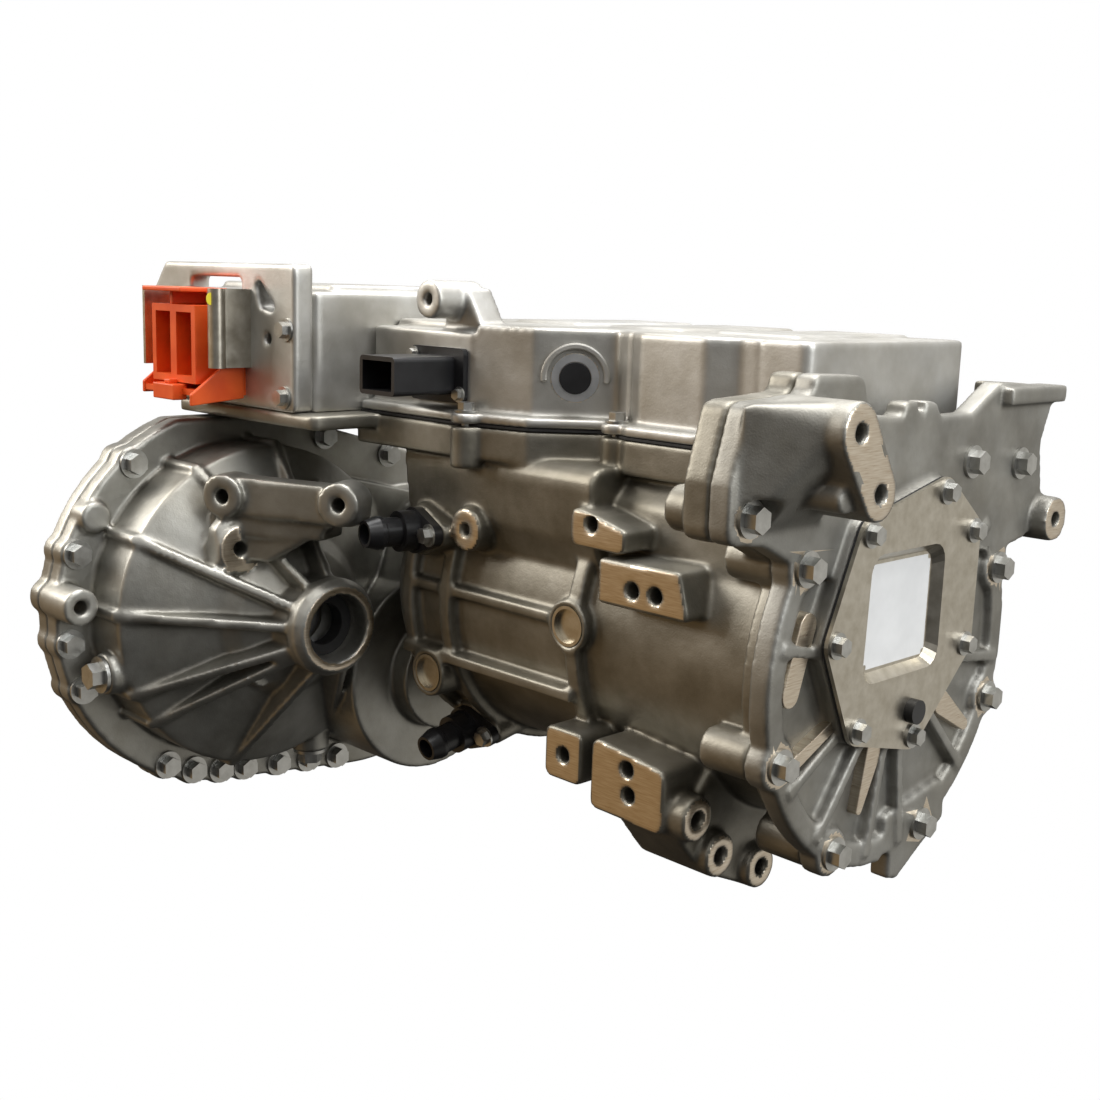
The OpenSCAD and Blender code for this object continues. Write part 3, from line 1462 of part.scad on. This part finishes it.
// Bevel gear about +Z with its apex at the origin
module bevel(teeth, cone) {
    h = bevel_cone * cos(cone);
    k = (bevel_cone - bevel_face) / bevel_cone;
    translate([0, 0, h])
        rotate([180, 0, 0])
            linear_extrude(h * (1 - k), scale = k)
                polygon(bevel_outline(teeth, cone));
}
module at_differential() {
    in_frame()
        translate([diff_x, axle[0], axle[1]])
            children();
}
module bevel_pinion() {
    difference() {
        union() {
            rotate([0, 0, 180 / bevel_pinion_teeth])
                bevel(bevel_pinion_teeth, 90 - side_cone);
            rod_z(pinion_h, pinion_back, pinion_boss_d, [0, 0]);
        }
        rod_z(0, pinion_back + over, pin_d + 2 * running_gap, [0, 0]);
    }
}
module pinion_upper() {
    color(steel) at_differential() bevel_pinion();
}
module pinion_lower() {
    color(steel) at_differential() rotate([180, 0, 0]) bevel_pinion();
}
module side_gear() {
    rotate([0, 90, 0])
        difference() {
            union() {
                bevel(bevel_side_teeth, side_cone);
                rod_z(side_h, cavity_half - running_gap, hub_d + 16, [0, 0]);
                rod_z(side_h, side_hub_l, hub_d, [0, 0]);
            }
            rod_z(0, side_hub_l + over, spline_d, [0, 0]);
        }
}
module side_gear_right() {
    color(steel) at_differential() side_gear();
}
module side_gear_left() {
    color(steel) at_differential() rotate([0, 0, 180]) side_gear();
}
module differential_bearings() {
    color(steel) in_frame() {
        bearing(right_bearing_x, journal_d, diff_bearing_d, axle);
        bearing(cover_bearing_x, journal_d, diff_bearing_d, axle);
    }
}
// Shaft seals behind the mouths of the output bores
module output_seals() {
    color(black) in_frame() {
        output_seal(nose_x - seal_in - seal_w);
        output_seal(gear_cover_x + seal_in);
    }
}
module output_seal(x) {
    difference() {
        rod_x(x, x + seal_w, seal_d, axle);
        rod_x(x - over, x + seal_w + over, seal_bore, axle);
    }
}

motor_housing();
end_cover();
end_cover_bolts();
access_cover();
access_gasket();
access_screws();
access_plug();
inverter_cover();
inverter_seal();
inverter_bolts();
vent_valve();
hv_box();
hv_frame();
hv_connector();
hv_contacts();
hv_guides();
hv_screws();
signal_connector();
signal_pins();
signal_screws();
coolant_inlet();
coolant_outlet();
coolant_screws();
coolant_seals();
core_plugs();
gearbox_housing();
gearbox_cover();
gearbox_bolts();
oil_plugs();
gearbox_dowels();
stator_core();
stator_winding();
rotor_shaft();
rotor_core();
rotor_bearings();
resolver_stator();
resolver_rotor();
phase_busbars();
power_module();
link_capacitor();
control_board();
input_pinion();
layshaft();
layshaft_gear();
layshaft_bearings();
ring_gear();
ring_bolts();
differential_case();
differential_cap();
cross_pin();
pinion_upper();
pinion_lower();
side_gear_right();
side_gear_left();
differential_bearings();
output_seals();
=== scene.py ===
"""Looks of the electric drive unit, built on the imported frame.

Lengths are in metres in the row frame. at() takes millimetres in the motor's own directions:
x along the motor axis from the end cover's face, y = z = 0 on the motor axis.
"""
import json
import math

import bmesh
import bpy
import numpy as np
from mathutils import Matrix, Vector

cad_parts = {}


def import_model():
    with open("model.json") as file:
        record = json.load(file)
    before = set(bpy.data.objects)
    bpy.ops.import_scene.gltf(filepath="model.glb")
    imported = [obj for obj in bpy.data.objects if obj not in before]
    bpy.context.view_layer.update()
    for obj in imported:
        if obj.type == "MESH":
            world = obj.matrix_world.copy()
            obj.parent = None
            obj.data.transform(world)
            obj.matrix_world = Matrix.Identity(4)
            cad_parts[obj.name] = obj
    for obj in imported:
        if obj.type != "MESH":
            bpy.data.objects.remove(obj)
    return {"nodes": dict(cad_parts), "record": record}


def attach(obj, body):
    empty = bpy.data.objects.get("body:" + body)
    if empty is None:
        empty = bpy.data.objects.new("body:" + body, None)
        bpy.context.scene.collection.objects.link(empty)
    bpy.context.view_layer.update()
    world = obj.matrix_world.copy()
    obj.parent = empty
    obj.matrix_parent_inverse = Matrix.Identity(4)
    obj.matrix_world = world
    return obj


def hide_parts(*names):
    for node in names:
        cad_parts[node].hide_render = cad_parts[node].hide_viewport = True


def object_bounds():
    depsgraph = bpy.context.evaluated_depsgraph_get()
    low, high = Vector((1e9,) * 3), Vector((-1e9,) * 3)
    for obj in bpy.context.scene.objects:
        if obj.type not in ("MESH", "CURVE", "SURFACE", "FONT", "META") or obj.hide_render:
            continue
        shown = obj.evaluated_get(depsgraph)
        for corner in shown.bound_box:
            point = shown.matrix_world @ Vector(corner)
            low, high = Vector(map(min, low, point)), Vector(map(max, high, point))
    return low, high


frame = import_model()
cad_low, cad_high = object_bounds()
nodes = frame["nodes"]
scene = bpy.context.scene

MM = 0.001
ORIGIN = Vector((345.0, 160.0, 25.0))
IMAGE_PX = 1100
FOCAL_PX = 1409.24
SENSOR_MM = 36.0
CAMERA_AT = (434.47, -731.85, 217.14)
CAMERA_AZIMUTH = 45.108
CAMERA_PITCH = 10.744
CAMERA_ROLL = 1.823
# Rounding of the sharp edges of every CAD piece
EDGE_WIDTH = 0.4 * MM
EDGE_ANGLE = math.radians(40)
PIECE_EDGE_ANGLE = math.radians(35)


def at(x, y, z):
    return (Vector((x, y, z)) + ORIGIN) * MM


# Materials


class Shader:
    """A Principled material with helpers for procedural detail."""

    def __init__(self, name, color, metallic, roughness):
        self.mat = bpy.data.materials.new(name)
        self.mat.use_nodes = True
        self.tree = self.mat.node_tree
        self.bsdf = self.tree.nodes["Principled BSDF"]
        self.bsdf.inputs["Base Color"].default_value = (*color, 1)
        self.bsdf.inputs["Metallic"].default_value = metallic
        self.bsdf.inputs["Roughness"].default_value = roughness
        self.coord = self.node("ShaderNodeTexCoord").outputs["Object"]
        self.height = None

    def node(self, kind, **values):
        made = self.tree.nodes.new(kind)
        for key, value in values.items():
            setattr(made, key, value)
        return made

    def link(self, a, b):
        self.tree.links.new(a, b)

    def noise(self, scale, detail=3.0, rough=0.6, stretch=None):
        tex = self.node("ShaderNodeTexNoise")
        tex.inputs["Scale"].default_value = scale
        tex.inputs["Detail"].default_value = detail
        tex.inputs["Roughness"].default_value = rough
        source = self.coord
        if stretch:
            mapping = self.node("ShaderNodeMapping")
            mapping.inputs["Scale"].default_value = stretch
            self.link(source, mapping.inputs["Vector"])
            source = mapping.outputs["Vector"]
        self.link(source, tex.inputs["Vector"])
        return tex.outputs["Fac"]

    def ramp(self, source, stops):
        ramp = self.node("ShaderNodeValToRGB")
        elements = ramp.color_ramp.elements
        while len(elements) < len(stops):
            elements.new(0.5)
        for element, (place, color) in zip(elements, stops):
            element.position = place
            element.color = (*color, 1) if len(color) == 3 else color
        self.link(source, ramp.inputs["Fac"])
        return ramp.outputs["Color"]

    def tint(self, source, low, high, start=0.3, end=0.7):
        self.link(self.ramp(source, [(start, low), (end, high)]), self.bsdf.inputs["Base Color"])

    def multiply(self, a, b, factor=1.0):
        mix = self.node("ShaderNodeMix", data_type="RGBA", blend_type="MULTIPLY")
        mix.inputs["Factor"].default_value = factor
        self.link(a, mix.inputs[6])
        self.link(b, mix.inputs[7])
        return mix.outputs[2]

    def rough(self, source, low, high):
        spread = self.node("ShaderNodeMapRange")
        spread.inputs["To Min"].default_value = low
        spread.inputs["To Max"].default_value = high
        self.link(source, spread.inputs["Value"])
        self.link(spread.outputs["Result"], self.bsdf.inputs["Roughness"])

    def bump(self, source, strength, distance):
        bump = self.node("ShaderNodeBump")
        bump.inputs["Strength"].default_value = strength
        bump.inputs["Distance"].default_value = distance
        self.link(source, bump.inputs["Height"])
        if self.height:
            self.link(self.height, bump.inputs["Normal"])
        self.height = bump.outputs["Normal"]
        self.link(self.height, self.bsdf.inputs["Normal"])

    def edges(self, dark, light):
        """Painted shade in concave corners and lighter rubbed wear on convex rims, from the mesh's own
        curvature.
        """
        pointy = self.node("ShaderNodeNewGeometry").outputs["Pointiness"]
        return self.ramp(pointy, [(0.44, dark), (0.5, (1, 1, 1)), (0.57, light)])


def cast_metal(name, low, high, grain, roughness):
    s = Shader(name, high, 0.9, roughness)
    cloud = s.noise(22, 4)
    body = s.ramp(cloud, [(0.32, low), (0.68, high)])
    stain = s.ramp(s.noise(7, 5, 0.7), [(0.3, (0.72, 0.68, 0.6)), (0.6, (1, 1, 1))])
    body = s.multiply(body, stain, 0.7)
    # Painted shade darkens concave corners; convex rims are lighter with wear
    body = s.multiply(body, s.edges((0.45, 0.43, 0.4), (1.25, 1.25, 1.25)), 0.9)
    s.link(body, s.bsdf.inputs["Base Color"])
    s.rough(cloud, roughness - 0.08, roughness + 0.1)
    s.bump(s.noise(160, 3), 0.25, 0.0006)
    s.bump(s.noise(900, 2), grain, 0.0003)
    return s.mat


def machined_metal(name, low, high):
    s = Shader(name, high, 1.0, 0.3)
    lines = s.noise(90, 2, 0.5, (1, 1, 14))
    s.tint(lines, low, high)
    s.rough(lines, 0.24, 0.36)
    s.bump(lines, 0.03, 0.0001)
    return s.mat


def zinc(name, low, high):
    s = Shader(name, high, 1.0, 0.32)
    cloud = s.noise(120, 3)
    s.tint(cloud, low, high)
    s.rough(cloud, 0.24, 0.42)
    s.bump(s.noise(1400, 2), 0.08, 0.0001)
    return s.mat


def moulded(name, low, high, roughness):
    s = Shader(name, high, 0.0, roughness)
    cloud = s.noise(40, 3)
    s.tint(cloud, low, high)
    s.rough(cloud, roughness - 0.06, roughness + 0.08)
    s.bump(s.noise(1600, 2), 0.1, 0.0001)
    return s.mat


CAST = cast_metal("cast_motor", (0.20, 0.19, 0.16), (0.35, 0.335, 0.295), 0.3, 0.46)
CAST_COVER = cast_metal("cast_end_cover", (0.26, 0.255, 0.235), (0.40, 0.395, 0.37), 0.35, 0.5)
CAST_BRIGHT = cast_metal("cast_inverter", (0.45, 0.445, 0.425), (0.60, 0.60, 0.585), 0.2, 0.46)
CAST_GEAR = cast_metal("cast_gearbox", (0.30, 0.295, 0.27), (0.46, 0.455, 0.425), 0.25, 0.42)
# Machined metal; its brown tint is a painted warm reflection
MACHINED_WARM_REFLECTION = machined_metal("machined", (0.62, 0.52, 0.40), (0.80, 0.72, 0.60))
SPOT_FACE = zinc("spot_face", (0.78, 0.80, 0.82), (0.92, 0.93, 0.94))
ZINC = zinc("zinc_steel", (0.44, 0.44, 0.42), (0.60, 0.60, 0.58))
PRESSED = zinc("pressed_steel", (0.50, 0.46, 0.38), (0.64, 0.60, 0.52))
GEAR_STEEL = zinc("gear_steel", (0.46, 0.47, 0.48), (0.62, 0.63, 0.64))
LAMINATION = zinc("lamination", (0.20, 0.20, 0.21), (0.30, 0.30, 0.31))
COPPER = zinc("copper", (0.60, 0.30, 0.15), (0.75, 0.42, 0.24))
ORANGE = moulded("orange_plastic", (0.72, 0.075, 0.008), (0.86, 0.12, 0.014), 0.42)
BLACK = moulded("black_plastic", (0.008, 0.008, 0.009), (0.018, 0.018, 0.02), 0.34)
RUBBER = moulded("rubber", (0.010, 0.010, 0.011), (0.022, 0.022, 0.023), 0.6)
BOARD = moulded("board", (0.02, 0.10, 0.04), (0.03, 0.15, 0.06), 0.4)
PAINT_DOT = moulded("paint_dot", (0.72, 0.60, 0.02), (0.80, 0.68, 0.03), 0.5)
STICKER = moulded("sticker", (0.78, 0.79, 0.80), (0.86, 0.87, 0.88), 0.45)

LOOK = {
    "cast": CAST, "cast_bright": CAST_BRIGHT, "cast_dark": CAST_GEAR, "pressed_steel": PRESSED,
    "steel": ZINC, "lamination": LAMINATION, "copper": COPPER, "orange_plastic": ORANGE,
    "black_plastic": BLACK, "board": BOARD, "rubber": RUBBER,
}
GEARS = ("input_pinion", "layshaft", "layshaft_gear", "ring_gear", "pinion_upper", "pinion_lower",
         "side_gear_right", "side_gear_left", "rotor_shaft", "cross_pin")
slot_of = {s["node"]: s["material_slot"] for s in frame["record"]["subparts"]}
body_of = {n: b for b, ns in frame["record"]["behaviour"]["bodies"].items() for n in ns}


def dress(obj, material):
    obj.data.materials.clear()
    obj.data.materials.append(material)


for name, obj in nodes.items():
    dress(obj, GEAR_STEEL if name in GEARS else LOOK[slot_of[name]])
    edge = obj.modifiers.new("edge", "BEVEL")
    edge.width = EDGE_WIDTH
    edge.segments = 2
    edge.limit_method = "ANGLE"
    edge.angle_limit = EDGE_ANGLE
    edge.harden_normals = False


# Castings: the solids with the rounded corners and the skin of a casting

VOXEL = 1.7 * MM
KEEP = 0.30
# A face counts as machined if it lies this near the stated plane and turns this little from it
PLANE_GAP = 0.9 * MM
FACING = 0.93


def evaluated_copy(obj):
    graph = bpy.context.evaluated_depsgraph_get()
    return bpy.data.meshes.new_from_object(obj.evaluated_get(graph))


def casting(node, material, faces, rounds):
    """Replaces a node by its casting. faces lists the machined faces as (normal, point, radius)."""
    piece = bpy.data.objects.new(node + "_casting", nodes[node].data.copy())
    scene.collection.objects.link(piece)
    skin = piece.modifiers.new("skin", "REMESH")
    skin.mode = "VOXEL"
    skin.voxel_size = VOXEL
    soft = piece.modifiers.new("soft", "SMOOTH")
    soft.factor = 0.5
    soft.iterations = rounds
    thin = piece.modifiers.new("thin", "DECIMATE")
    thin.ratio = KEEP
    mesh = evaluated_copy(piece)
    piece.modifiers.clear()
    piece.data = mesh
    mesh.materials.clear()
    mesh.materials.append(material)
    mesh.materials.append(MACHINED_WARM_REFLECTION)
    paint_machined(mesh, faces)
    mesh.polygons.foreach_set("use_smooth", np.ones(len(mesh.polygons), bool))
    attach(piece, body_of[node])
    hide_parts(node)


def paint_machined(mesh, faces):
    count = len(mesh.polygons)
    centre = np.zeros(count * 3)
    normal = np.zeros(count * 3)
    mesh.polygons.foreach_get("center", centre)
    mesh.polygons.foreach_get("normal", normal)
    centre = centre.reshape(-1, 3)
    normal = normal.reshape(-1, 3)
    marked = np.zeros(count, np.int32)
    for direction, point, radius in faces:
        n = np.array(Vector(direction).normalized())
        off = centre - np.array(point)
        high = off @ n
        flat = np.linalg.norm(off - np.outer(high, n), axis=1)
        marked[(normal @ n > FACING) & (np.abs(high) < PLANE_GAP) & (flat < radius)] = 1
    mesh.polygons.foreach_set("material_index", marked)


X, FRONT = (1, 0, 0), (0, -1, 0)
PAD_Y = -125
pad_faces = [(FRONT, at(-110, PAD_Y, z), 0.08) for z in (70, 40, -80)] + [(FRONT, at(-160, PAD_Y, -75), 0.03)]
foot_faces = [(X, at(-60, y, z), 0.014) for y, z in ((-108, -93), (-84, -122), (-42, -141))]
inlet_face = [(FRONT, at(-259, -122, 54), 0.015)]
casting("motor_housing", CAST, pad_faces + foot_faces + inlet_face, 8)

END_BOLTS = [(122 * math.cos(math.radians(a)), 122 * math.sin(math.radians(a)))
             for a in (146, 21, -21, -70, -117, -160)] + [(-155, 101), (69, 116), (131, 111)]
cover_faces = [(X, at(0, y, z), 0.0125) for y, z in END_BOLTS]
cover_faces += [(X, at(45, -126, 148), 0.02), (X, at(45, -104, 115), 0.02), (X, at(12, 166, 72), 0.016)]
casting("end_cover", CAST_COVER, cover_faces, 7)

AXLE = (-160, -25)
gear_faces = [(X, at(-345, *AXLE), 0.034), (X, at(-396, -207, 29), 0.018)]
casting("gearbox_housing", CAST_GEAR, gear_faces, 8)
casting("gearbox_cover", CAST_GEAR, [], 8)
casting("inverter_cover", CAST_BRIGHT, [((1, -1, 0), at(-195, -87, 158), 0.0155)], 6)
casting("hv_box", CAST_BRIGHT, [], 5)
casting("hv_frame", CAST_BRIGHT, [], 4)


# Extra pieces


def piece(name, verts, faces, body, material, edge=0.0):
    """A new mesh that rides with a body."""
    mesh = bpy.data.meshes.new(name)
    mesh.from_pydata(verts, [], faces)
    build = bmesh.new()
    build.from_mesh(mesh)
    bmesh.ops.recalc_face_normals(build, faces=build.faces)
    build.to_mesh(mesh)
    build.free()
    obj = bpy.data.objects.new(name, mesh)
    scene.collection.objects.link(obj)
    if edge:
        round_off = obj.modifiers.new("edge", "BEVEL")
        round_off.width = edge * MM
        round_off.segments = 2
        round_off.angle_limit = PIECE_EDGE_ANGLE
    dress(obj, material)
    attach(obj, body)


def prism(outline, far, near, place):
    """Vertices and faces of an outline drawn out from far to near; place(u, v, w) gives a point."""
    count = len(outline)
    verts = [place(u, v, far) for u, v in outline] + [place(u, v, near) for u, v in outline]
    faces = [tuple(range(count)), tuple(range(count, 2 * count))]
    faces += [(i, (i + 1) % count, count + (i + 1) % count, count + i) for i in range(count)]
    return verts, faces


def boxes(list_of_boxes):
    """Vertices and faces of boxes given as (low corner, high corner)."""
    verts, faces = [], []
    for low, high in list_of_boxes:
        x, y, z = zip(low, high)
        square = [(x[0], y[0]), (x[1], y[0]), (x[1], y[1]), (x[0], y[1])]
        v, f = prism(square, z[0], z[1], at)
        faces += [tuple(i + len(verts) for i in face) for face in f]
        verts += v
    return verts, faces


def capsule(p, r, q, t, steps=10):
    """Outline round two circles, with centres p and q and radii r and t."""
    along = math.atan2(q[1] - p[1], q[0] - p[0])
    gap = math.hypot(q[0] - p[0], q[1] - p[1])
    lean = math.acos((r - t) / gap)
    outline = []
    ends = ((p, r, along + lean, along + 2 * math.pi - lean), (q, t, along - lean, along + lean))
    for centre, radius, first, last in ends:
        for k in range(steps + 1):
            a = first + (last - first) * k / steps
            outline.append((centre[0] + radius * math.cos(a), centre[1] + radius * math.sin(a)))
    return outline


def on_cover(y, z, x):
    return at(x, y, z)


RIB_PADS = [
    ((-96.5, 35.5), 7.5, (-109, -2), 7.5), ((-16.5, -46), 9.0, (-31, -88), 3.0),
    ((56, -37), 8.0, (88, -58), 4.0), ((-62, -27), 3.5, (-106, -46), 4.5),
]
for i, pad in enumerate(RIB_PADS):
    piece("rib_pad_%d" % i, *prism(capsule(*pad), -9.0, 0.6, on_cover), "unit", MACHINED_WARM_REFLECTION, edge=0.5)

VENT = (-195.0, -87.0, 158.0)


def on_vent(u, v, w):
    """u to the right and v up on the slanted wall of the vent, w outwards."""
    turn = math.sqrt(0.5)
    return at(VENT[0] + (u + w) * turn, VENT[1] + (u - w) * turn, VENT[2] + v)


def arc(inner, outer, first, last, steps=40):
    angles = [math.radians(first + (last - first) * k / steps) for k in range(steps + 1)]
    line = [(outer * math.cos(a), outer * math.sin(a)) for a in angles]
    return line + [(inner * math.cos(a), inner * math.sin(a)) for a in reversed(angles)]


piece("vent_ridge", *prism(arc(18.0, 22.0, -8, 188), -2.0, 3.0, on_vent), "unit", CAST_BRIGHT, edge=1.0)
piece("vent_seat", *prism(arc(10.4, 15.2, 0, 359.5, 90), -1.0, 0.8, on_vent), "unit", SPOT_FACE)


# Hood, wings and latch of the orange plug, and a dab of paint on its steel guide
PLUG_SKIN = [
    ((-498, -222, 203), (-446, -184, 206)), ((-474, -214, 194), (-470, -186, 203)),
    ((-480, -225, 128), (-452, -214, 139)), ((-470, -222, 139), (-462, -214, 142)),
]
piece("plug_hood", *boxes(PLUG_SKIN), "unit", ORANGE, edge=0.8)
WINGS = [("left", -506.0, -503.0, [(-219, 130), (-184, 130), (-184, 158), (-206, 148), (-219, 138)]),
         ("right", -429.0, -426.0, [(-226, 126), (-184, 130), (-184, 162), (-196, 156), (-226, 134)])]
for side, x0, x1, outline in WINGS:
    piece("plug_wing_" + side, *prism(outline, x0, x1, on_cover), "unit", ORANGE, edge=0.8)
DOT = [(-214 + 3.2 * math.cos(k * math.pi / 8), 199 + 4.2 * math.sin(k * math.pi / 8)) for k in range(16)]
piece("paint_dot", *prism(DOT, -419.9, -419.6, on_cover), "unit", PAINT_DOT)


# Blank label on the access cover


LABEL_THICK = 0.3 * MM
LABEL_CORNER = 3 * MM


def sheet(name, corners, thick, body, material):
    """A thin plate with rounded corners, from its corner points in order."""
    mesh = bpy.data.meshes.new(name)
    build = bmesh.new()
    face = build.faces.new([build.verts.new(c) for c in corners])
    bmesh.ops.bevel(build, geom=list(face.verts), offset=LABEL_CORNER, segments=5, affect="VERTICES")
    build.to_mesh(mesh)
    build.free()
    obj = bpy.data.objects.new(name, mesh)
    scene.collection.objects.link(obj)
    solid = obj.modifiers.new("solid", "SOLIDIFY")
    solid.thickness = thick
    solid.offset = 1
    dress(obj, material)
    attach(obj, body)


LABEL_X = 4.0
label = [at(LABEL_X, y, z) for y, z in ((-45, 2), (21, 2), (21, 64), (-44, 64))]
sheet("blank_label", label, LABEL_THICK, "unit", STICKER)


# Camera and light


def camera():
    a, p, r = (math.radians(v) for v in (CAMERA_AZIMUTH, CAMERA_PITCH, CAMERA_ROLL))
    forward = Vector((-math.sin(a) * math.cos(p), math.cos(a) * math.cos(p), -math.sin(p)))
    right = Vector((math.cos(a), math.sin(a), 0))
    up = right.cross(forward)
    turned = math.cos(r) * right + math.sin(r) * up
    top = -math.sin(r) * right + math.cos(r) * up
    data = bpy.data.cameras.new("camera")
    data.sensor_width = SENSOR_MM
    data.lens = SENSOR_MM * FOCAL_PX / IMAGE_PX
    data.clip_start = 0.01
    data.clip_end = 50
    obj = bpy.data.objects.new("camera", data)
    scene.collection.objects.link(obj)
    turn = Matrix((turned, top, -forward)).transposed().to_4x4()
    obj.matrix_world = Matrix.Translation(at(*CAMERA_AT)) @ turn
    scene.camera = obj


def lamp(name, place, target, size, power, color=(1, 1, 1)):
    data = bpy.data.lights.new(name, "AREA")
    data.shape = "RECTANGLE"
    data.size, data.size_y = size
    data.energy = power
    data.color = color
    obj = bpy.data.objects.new(name, data)
    scene.collection.objects.link(obj)
    obj.location = place
    obj.rotation_mode = "QUATERNION"
    obj.rotation_quaternion = (Vector(target) - Vector(place)).to_track_quat("-Z", "Y")


# Brightness of the hall by height, from straight down to straight up
HALL_GREY = ((0.0, 0.015), (0.42, 0.05), (0.5, 0.17), (0.6, 0.30), (0.8, 0.75), (1.0, 1.0))
# Tinted sides of the hall: direction, where the tint starts and is full, colour
HALL_SIDES = (
    ((-0.7, -0.7, -0.1), 0.45, 0.95, (0.30, 0.20, 0.10, 1)),
    ((0.72, 0.68, -0.1), 0.6, 0.95, (0.55, 0.53, 0.49, 1)),
)
HALL_STRENGTH = 1.05


def world():
    """A dark hall, bright overhead and tinted on two sides; the camera itself sees white."""
    scene.world = bpy.data.worlds.new("hall")
    scene.world.use_nodes = True
    tree = scene.world.node_tree
    new, link = tree.nodes.new, tree.links.new
    hall = tree.nodes["Background"]
    coord = new("ShaderNodeTexCoord").outputs["Generated"]
    split = new("ShaderNodeSeparateXYZ")
    link(coord, split.inputs["Vector"])
    height = new("ShaderNodeMapRange")
    height.inputs["From Min"].default_value = -1.0
    link(split.outputs["Z"], height.inputs["Value"])
    grey = new("ShaderNodeValToRGB")
    while len(grey.color_ramp.elements) < len(HALL_GREY):
        grey.color_ramp.elements.new(0.5)
    for element, (place, value) in zip(grey.color_ramp.elements, HALL_GREY):
        element.position = place
        element.color = (value, value * 0.98, value * 0.95, 1)
    link(height.outputs["Result"], grey.inputs["Fac"])
    color = grey.outputs["Color"]
    for direction, start, end, shade in HALL_SIDES:
        facing = new("ShaderNodeVectorMath")
        facing.operation = "DOT_PRODUCT"
        facing.inputs[1].default_value = direction
        link(coord, facing.inputs[0])
        share = new("ShaderNodeMapRange")
        share.inputs["From Min"].default_value = start
        share.inputs["From Max"].default_value = end
        link(facing.outputs["Value"], share.inputs["Value"])
        blend = new("ShaderNodeMix")
        blend.data_type = "RGBA"
        blend.inputs[7].default_value = shade
        link(share.outputs["Result"], blend.inputs["Factor"])
        link(color, blend.inputs[6])
        color = blend.outputs[2]
    link(color, hall.inputs["Color"])
    hall.inputs["Strength"].default_value = HALL_STRENGTH
    paper = new("ShaderNodeBackground")
    paper.inputs["Color"].default_value = (1, 1, 1, 1)
    paper.inputs["Strength"].default_value = 1.0
    pick = new("ShaderNodeMixShader")
    link(new("ShaderNodeLightPath").outputs["Is Camera Ray"], pick.inputs["Fac"])
    link(hall.outputs["Background"], pick.inputs[1])
    link(paper.outputs["Background"], pick.inputs[2])
    link(pick.outputs["Shader"], tree.nodes["World Output"].inputs["Surface"])


camera()
world()
centre = (cad_low + cad_high) / 2
lamp("top", centre + Vector((0.1, 0.2, 1.5)), centre, (1.6, 1.2), 34)
lamp("left", centre + Vector((-1.2, -1.0, 0.9)), centre, (0.7, 1.0), 20, (1.0, 0.97, 0.92))
lamp("right", centre + Vector((1.6, 0.2, 0.7)), centre, (0.7, 0.9), 12, (0.95, 0.98, 1.0))

scene.view_settings.view_transform = "Standard"
